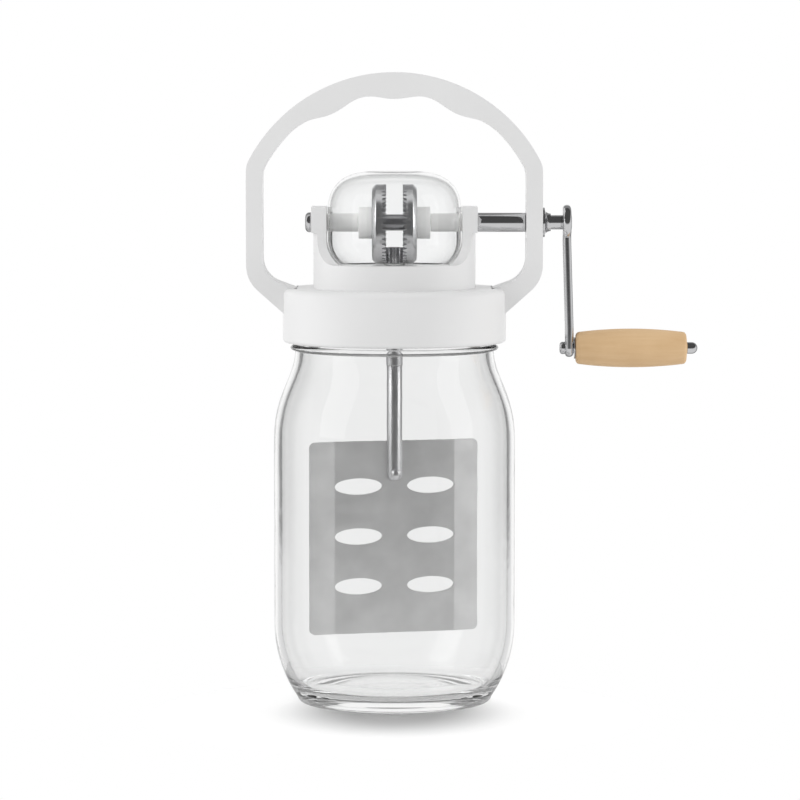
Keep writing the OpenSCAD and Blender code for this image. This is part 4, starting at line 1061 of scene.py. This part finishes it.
def make_grip(crank):
    """Wooden grip with its pin, domed cap and washer."""
    low, high, middle_r = along_shaft("wooden_grip")
    bore = crank.pin_r + crank.grip_gap
    swell = middle_r - crank.grip_end_r
    barrel = [
        (crank.grip_end_r + swell * (1 - (2 * s - 1) ** 2), low + (high - low) * s) for s in shares(24)
    ]
    section = [(bore, low), *barrel, (bore, high)]
    bm = lathe(section, True, [((1, -2), crank.grip_edge, 6)], GEAR_STEPS)
    finished(bm, "wooden_grip", at=ON_GRIP)
    make_pin("grip_pin", crank.pin_head, crank.pin_round, crank.pin_r, segments=6, at=ON_GRIP)
    low, high, radius = along_shaft("grip_cap")
    hole_end = low + crank.cap_hole
    section = [
        (crank.pin_r, low), (radius, low), (radius, high), (0, high), (0, hole_end), (crank.pin_r, hole_end),
    ]
    rounds = [((1,), crank.edge, 3), ((2,), crank.cap_round, 10)]
    finished(lathe(section, True, rounds, PIN_STEPS), "grip_cap", at=ON_GRIP)
    bm = turned_ring(*along_shaft("grip_washer"), crank.pin_r, crank.edge / 2)
    finished(bm, "grip_washer", at=ON_GRIP)


def bend_wings(bm, dasher):
    """Bend the plate's right wing back and its left wing forward, along soft lines."""
    flat = dasher.plate_w / 2 - dasher.wing_w
    start = flat - dasher.bend_w / 2
    for side in (-1, 1):
        for s in shares(4):
            cut(bm, (side * (start + dasher.bend_w * s), 0, 0), (1, 0, 0))
    radius = dasher.bend_w / dasher.wing_bend
    for vert in bm.verts:
        past = abs(vert.co.x) - start
        if past <= 0:
            continue
        side = math.copysign(1, vert.co.x)
        depth = side * vert.co.y
        bend = min(past, dasher.bend_w) / radius
        straight = max(0, past - dasher.bend_w)
        out = start + radius * math.sin(bend) + straight * math.cos(bend) - depth * math.sin(bend)
        back = radius * (1 - math.cos(bend)) + straight * math.sin(bend) + depth * math.cos(bend)
        vert.co.x = side * out
        vert.co.y = side * back


def make_plate(dasher):
    """Dasher plate with two columns of holes and bent wings."""
    low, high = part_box("dasher_plate")
    half = dasher.plate_w / 2
    bm = bmesh.new()
    corners = wire(bm, [(-half, low.z), (half, low.z), (half, high.z), (-half, high.z)], closed=True)
    round_off(bm, corners, dasher.corner_r, segments=6)
    oval = Matrix.Diagonal((dasher.hole_w / 2, 1, dasher.hole_h / 2, 1)) @ ALONG_Y
    for side in (-1, 1):
        for row in (-1, 0, 1):
            up = low.z + dasher.hole_mid_up + row * dasher.hole_pitch
            shape = Matrix.Translation((side * dasher.hole_column, 0, up)) @ oval
            bmesh.ops.create_circle(bm, cap_ends=False, radius=1, segments=PIN_STEPS, matrix=shape)
    bmesh.ops.triangle_fill(bm, use_beauty=True, use_dissolve=True, edges=bm.edges[:])
    bmesh.ops.translate(bm, vec=(0, -dasher.plate_t / 2, 0), verts=bm.verts)
    thicken(bm, (0, dasher.plate_t, 0))
    soften(bm, dasher.edge, segments=2)
    bend_wings(bm, dasher)
    even_normals(finished(bm, "dasher_plate", at=Matrix.Rotation(dasher.turn, 4, "Z")))


def make_rod(dasher, crank):
    """Dasher's rod with its round end and rivet."""
    low, _, radius = along_axis("dasher_rod")
    top = along_axis("coupling_sleeve")[0]
    section = [(0, low), (radius, low), (radius, top), (0, top)]
    rounds = [((1,), dasher.rod_end_r, 8), ((2,), crank.edge, 3)]
    finished(lathe(section, False, rounds), "dasher_rod")
    reach = radius + dasher.rivet_out
    section = [(0, -reach), (dasher.rivet_r, -reach), (dasher.rivet_r, reach), (0, reach)]
    bm = lathe(section, False, [((1, 2), dasher.rivet_round, 8)], PIN_STEPS)
    turned = Matrix.Translation((0, 0, low + dasher.rivet_up)) @ Matrix.Rotation(dasher.turn, 4, "Z")
    finished(bm, "dasher_rivet", at=turned @ ALONG_Y)


# CAD nodes that stay in view as they are
CARRIED = ("housing_screws", "spindle_bush", "hub_pin", "drive_spindle")


def finish_carried():
    """Give the CAD nodes that stay in view their finishes."""
    for node in CARRIED:
        data = frame["nodes"][node].data
        data.materials.clear()
        data.materials.append(finish_of(node))


def toward_mask(tree, coords, direction, edge, core):
    """Mask that is 1 within a core angle of a direction and 0 beyond an edge angle."""
    toward = add_node(tree, "ShaderNodeVectorMath", {0: coords, 1: direction}, operation="DOT_PRODUCT")
    return remap(tree, toward.outputs["Value"], math.cos(edge), math.cos(core), kind="SMOOTHSTEP")


def past_wall(tree, path):
    """Mask of the rays that have gone through more glass than the jar's near wall."""
    return calc(tree, "GREATER_THAN", path["Transmission Depth"], NEAR_WALL + 0.5)


def in_near_wall(tree, path):
    """Mask of the rays that have gone through the jar's near wall, or one side of it."""
    return calc(tree, "COMPARE", path["Transmission Depth"], NEAR_WALL - 0.5, 1.0)


def studio_world(stage):
    """White to the eye and through glass. Reflections see a dim front, and a dark rim behind the churn."""
    world = bpy.data.worlds.new("Studio")
    world.use_nodes = True
    tree = world.node_tree
    background = tree.nodes["Background"]
    background.inputs["Color"].default_value = WHITE
    coords = add_node(tree, "ShaderNodeTexCoord").outputs["Generated"]
    path = add_node(tree, "ShaderNodeLightPath").outputs
    front, dark, inner = (
        toward_mask(tree, coords, (0, -math.cos(rise), math.sin(rise)), edge, core)
        for rise, edge, core in (
            (stage.front_up, stage.front_out, stage.front_in),
            (stage.mirror_up, stage.mirror_out, stage.mirror_in),
            (stage.inner_up, stage.front_out, stage.front_in),
        )
    )
    around = toward_mask(tree, coords, (0, 1, 0), stage.rim_out, stage.rim_out - stage.rim_soft)
    behind = toward_mask(tree, coords, (0, 1, 0), stage.rim_in + stage.back_soft, stage.rim_in)
    above = toward_mask(tree, coords, (0, 0, 1), stage.table_to, stage.table_from)
    in_wall = in_near_wall(tree, path)
    dim = choose(tree, in_wall, stage.front_mirror, stage.front_glass)
    ring = choose(tree, in_wall, stage.rim, choose(tree, above, stage.table, stage.rim_glass))
    rim = choose(tree, behind, ring, 1.0)
    shade = choose(tree, past_wall(tree, path), dark, inner)
    mirrored = choose(tree, around, choose(tree, shade, stage.side_mirror, dim), rim)
    lit = choose(tree, front, stage.sky, stage.front)
    bounced = choose(tree, path["Diffuse Depth"], mirrored, lit)
    bounces = calc(tree, "ADD", path["Diffuse Depth"], path["Glossy Depth"])
    tree.links.new(choose(tree, bounces, 1.0, bounced), background.inputs["Strength"])
    bpy.context.scene.world = world


def floor_finish(rgb, stage):
    """Pale floor lifted to white by emission for the eye, metal and glass, except in an oval set forward of the
    jar, which stays grey as a painted shadow over the real shadow it keeps.
    """
    material, tree, shader = new_finish(
        "Floor", Base_Color=solid(rgb), Roughness=1.0, Specular_IOR_Level=0.0, Emission_Color=WHITE
    )
    coords = add_node(tree, "ShaderNodeTexCoord").outputs["Object"]
    # Painted shadow: the lift is 0 in an oval moved forward of the jar and narrowed sideways, so the grey floor
    # shows there
    narrowed = {0: coords, 1: (stage.painted_shadow_wide, 1, 1), 2: (0, stage.painted_shadow_fall, 0)}
    moved = add_node(tree, "ShaderNodeVectorMath", narrowed, operation="MULTIPLY_ADD")
    away = add_node(tree, "ShaderNodeVectorMath", {0: moved.outputs["Vector"]}, operation="LENGTH")
    painted_shadow_lift = remap(
        tree, away.outputs["Value"], stage.painted_shadow_in, stage.painted_shadow_out, to_high=stage.floor_far,
        kind="SMOOTHSTEP",
    )
    path = add_node(tree, "ShaderNodeLightPath").outputs
    seen = choose(tree, path["Transmission Depth"], painted_shadow_lift, stage.floor_under)
    mirrored = choose(tree, past_wall(tree, path), stage.floor_mirror, stage.floor_inner)
    lift = choose(tree, path["Glossy Depth"], seen, mirrored)
    tree.links.new(choose(tree, path["Diffuse Depth"], lift, 0.0), shader.inputs["Emission Strength"])
    return material


def add_softbox(name, place, size, power, aim):
    """Soft area light that looks at a point."""
    light = bpy.data.lights.new(name, "AREA")
    light.shape = "RECTANGLE"
    light.size, light.size_y = size
    light.energy = power
    lamp = bpy.data.objects.new(name, light)
    lamp.location = place
    lamp.rotation_euler = (Vector(aim) - Vector(place)).to_track_quat("-Z", "Y").to_euler()
    lamp.visible_glossy = False
    bpy.context.scene.collection.objects.link(lamp)


def make_stage(stage, finish):
    """Floor, soft light and the camera at the photograph's viewing angle."""
    scene = bpy.context.scene
    scene.view_settings.view_transform = "Standard"
    # Light turns round in thick glass more often than Blender's default bounces allow
    scene.cycles.max_bounces = 24
    scene.cycles.glossy_bounces = 12
    scene.cycles.transmission_bounces = 16
    bm = bmesh.new()
    bmesh.ops.create_circle(bm, cap_ends=True, radius=stage.floor_r, segments=GEAR_STEPS)
    bmesh.ops.translate(bm, vec=(0, -stage.floor_y, -stage.floor_gap), verts=bm.verts)
    mesh = bpy.data.meshes.new("floor")
    bm.to_mesh(mesh)
    bm.free()
    mesh.materials.append(floor_finish(finish.floor, stage))
    floor = bpy.data.objects.new("floor", mesh)
    scene.collection.objects.link(floor)
    studio_world(stage)
    for name, place, size, power in (
        ("Key softbox", (-0.9, -0.45, 0.55), (0.6, 0.9), stage.key),
        ("Fill softbox", (0.95, -0.35, 0.45), (0.5, 0.9), stage.fill),
    ):
        add_softbox(name, place, size, power, aim=(0, 0, stage.aim_z))
    lens = bpy.data.cameras.new("Camera")
    lens.angle = stage.view
    camera = bpy.data.objects.new("Camera", lens)
    camera.location = (stage.eye_x, -stage.distance, stage.eye_z)
    camera.rotation_euler = (math.pi / 2 - stage.tilt, 0, 0)
    scene.collection.objects.link(camera)
    scene.camera = camera


class CHURN_OT_stage(Operator):
    """Set up the floor, the light and the camera"""

    bl_idname = "churn.stage"
    bl_label = "Stage"

    def execute(self, context):
        make_stage(context.scene.churn.stage, context.scene.churn.finish)
        return {"FINISHED"}


class CHURN_OT_jar(Operator):
    """Model the glass jar"""

    bl_idname = "churn.jar"
    bl_label = "Glass Jar"

    def execute(self, context):
        make_jar(context.scene.churn.jar)
        return {"FINISHED"}


class CHURN_OT_lid(Operator):
    """Model the screw lid's collar"""

    bl_idname = "churn.lid"
    bl_label = "Screw Lid"

    def execute(self, context):
        make_lid(context.scene.churn.lid, context.scene.churn.jar)
        return {"FINISHED"}


class CHURN_OT_handle(Operator):
    """Model the carry handle"""

    bl_idname = "churn.handle"
    bl_label = "Carry Handle"

    def execute(self, context):
        make_handle(context.scene.churn.handle)
        return {"FINISHED"}


class CHURN_OT_housing(Operator):
    """Model the gear housing and its clear dome"""

    bl_idname = "churn.housing"
    bl_label = "Gear Housing"

    def execute(self, context):
        make_housing(context.scene.churn.housing)
        make_cover(context.scene.churn.housing)
        return {"FINISHED"}


class CHURN_OT_gears(Operator):
    """Model the crown gears and the pinion"""

    bl_idname = "churn.gears"
    bl_label = "Gears"

    def execute(self, context):
        make_gears(context.scene.churn.gears, context.scene.churn.crank)
        return {"FINISHED"}


class CHURN_OT_rings(Operator):
    """Model the sleeves, hubs, bushes, washers and tubes"""

    bl_idname = "churn.rings"
    bl_label = "Turned Rings"

    def execute(self, context):
        churn = context.scene.churn
        make_rings(churn.crank, churn.lid, churn.jar)
        return {"FINISHED"}


class CHURN_OT_crank(Operator):
    """Model the crank's shaft, flange, arm and grip"""

    bl_idname = "churn.crank"
    bl_label = "Crank"

    def execute(self, context):
        crank = context.scene.churn.crank
        make_shaft(crank)
        make_arm(crank)
        make_grip(crank)
        return {"FINISHED"}


class CHURN_OT_dasher(Operator):
    """Model the dasher's plate, rod and rivet"""

    bl_idname = "churn.dasher"
    bl_label = "Dasher"

    def execute(self, context):
        make_plate(context.scene.churn.dasher)
        make_rod(context.scene.churn.dasher, context.scene.churn.crank)
        return {"FINISHED"}


class CHURN_OT_carried(Operator):
    """Finish the pieces that stay as they are"""

    bl_idname = "churn.carried"
    bl_label = "Carried Pieces"

    def execute(self, context):
        finish_carried()
        return {"FINISHED"}


class CHURN_PT_panel(Panel):
    """Lists the churn's operators"""

    bl_idname = "CHURN_PT_panel"
    bl_label = "Jar Butter Churn"
    bl_space_type = "VIEW_3D"
    bl_region_type = "UI"
    bl_category = "Churn"

    def draw(self, context):
        for operator in OPERATORS:
            self.layout.operator(operator.bl_idname)


GROUPS = (
    ChurnJar, ChurnLid, ChurnHandle, ChurnHousing, ChurnGears, ChurnCrank, ChurnDasher, ChurnFinish,
    ChurnStage, ChurnSettings,
)
OPERATORS = (
    CHURN_OT_stage, CHURN_OT_jar, CHURN_OT_lid, CHURN_OT_handle, CHURN_OT_housing, CHURN_OT_gears,
    CHURN_OT_rings, CHURN_OT_crank, CHURN_OT_dasher, CHURN_OT_carried,
)


def register():
    """Register the add-on's classes and its settings."""
    for item in (*GROUPS, *OPERATORS, CHURN_PT_panel):
        bpy.utils.register_class(item)
    bpy.types.Scene.churn = PointerProperty(type=ChurnSettings)


def unregister():
    """Remove the add-on's settings and classes."""
    del bpy.types.Scene.churn
    for item in reversed((*GROUPS, *OPERATORS, CHURN_PT_panel)):
        bpy.utils.unregister_class(item)


def main():
    """Make the churn piece by piece."""
    register()
    bpy.ops.churn.stage()
    bpy.ops.churn.jar()
    bpy.ops.churn.lid()
    bpy.ops.churn.handle()
    bpy.ops.churn.housing()
    bpy.ops.churn.gears()
    bpy.ops.churn.rings()
    bpy.ops.churn.crank()
    bpy.ops.churn.dasher()
    bpy.ops.churn.carried()


if __name__ == "__main__":
    main()
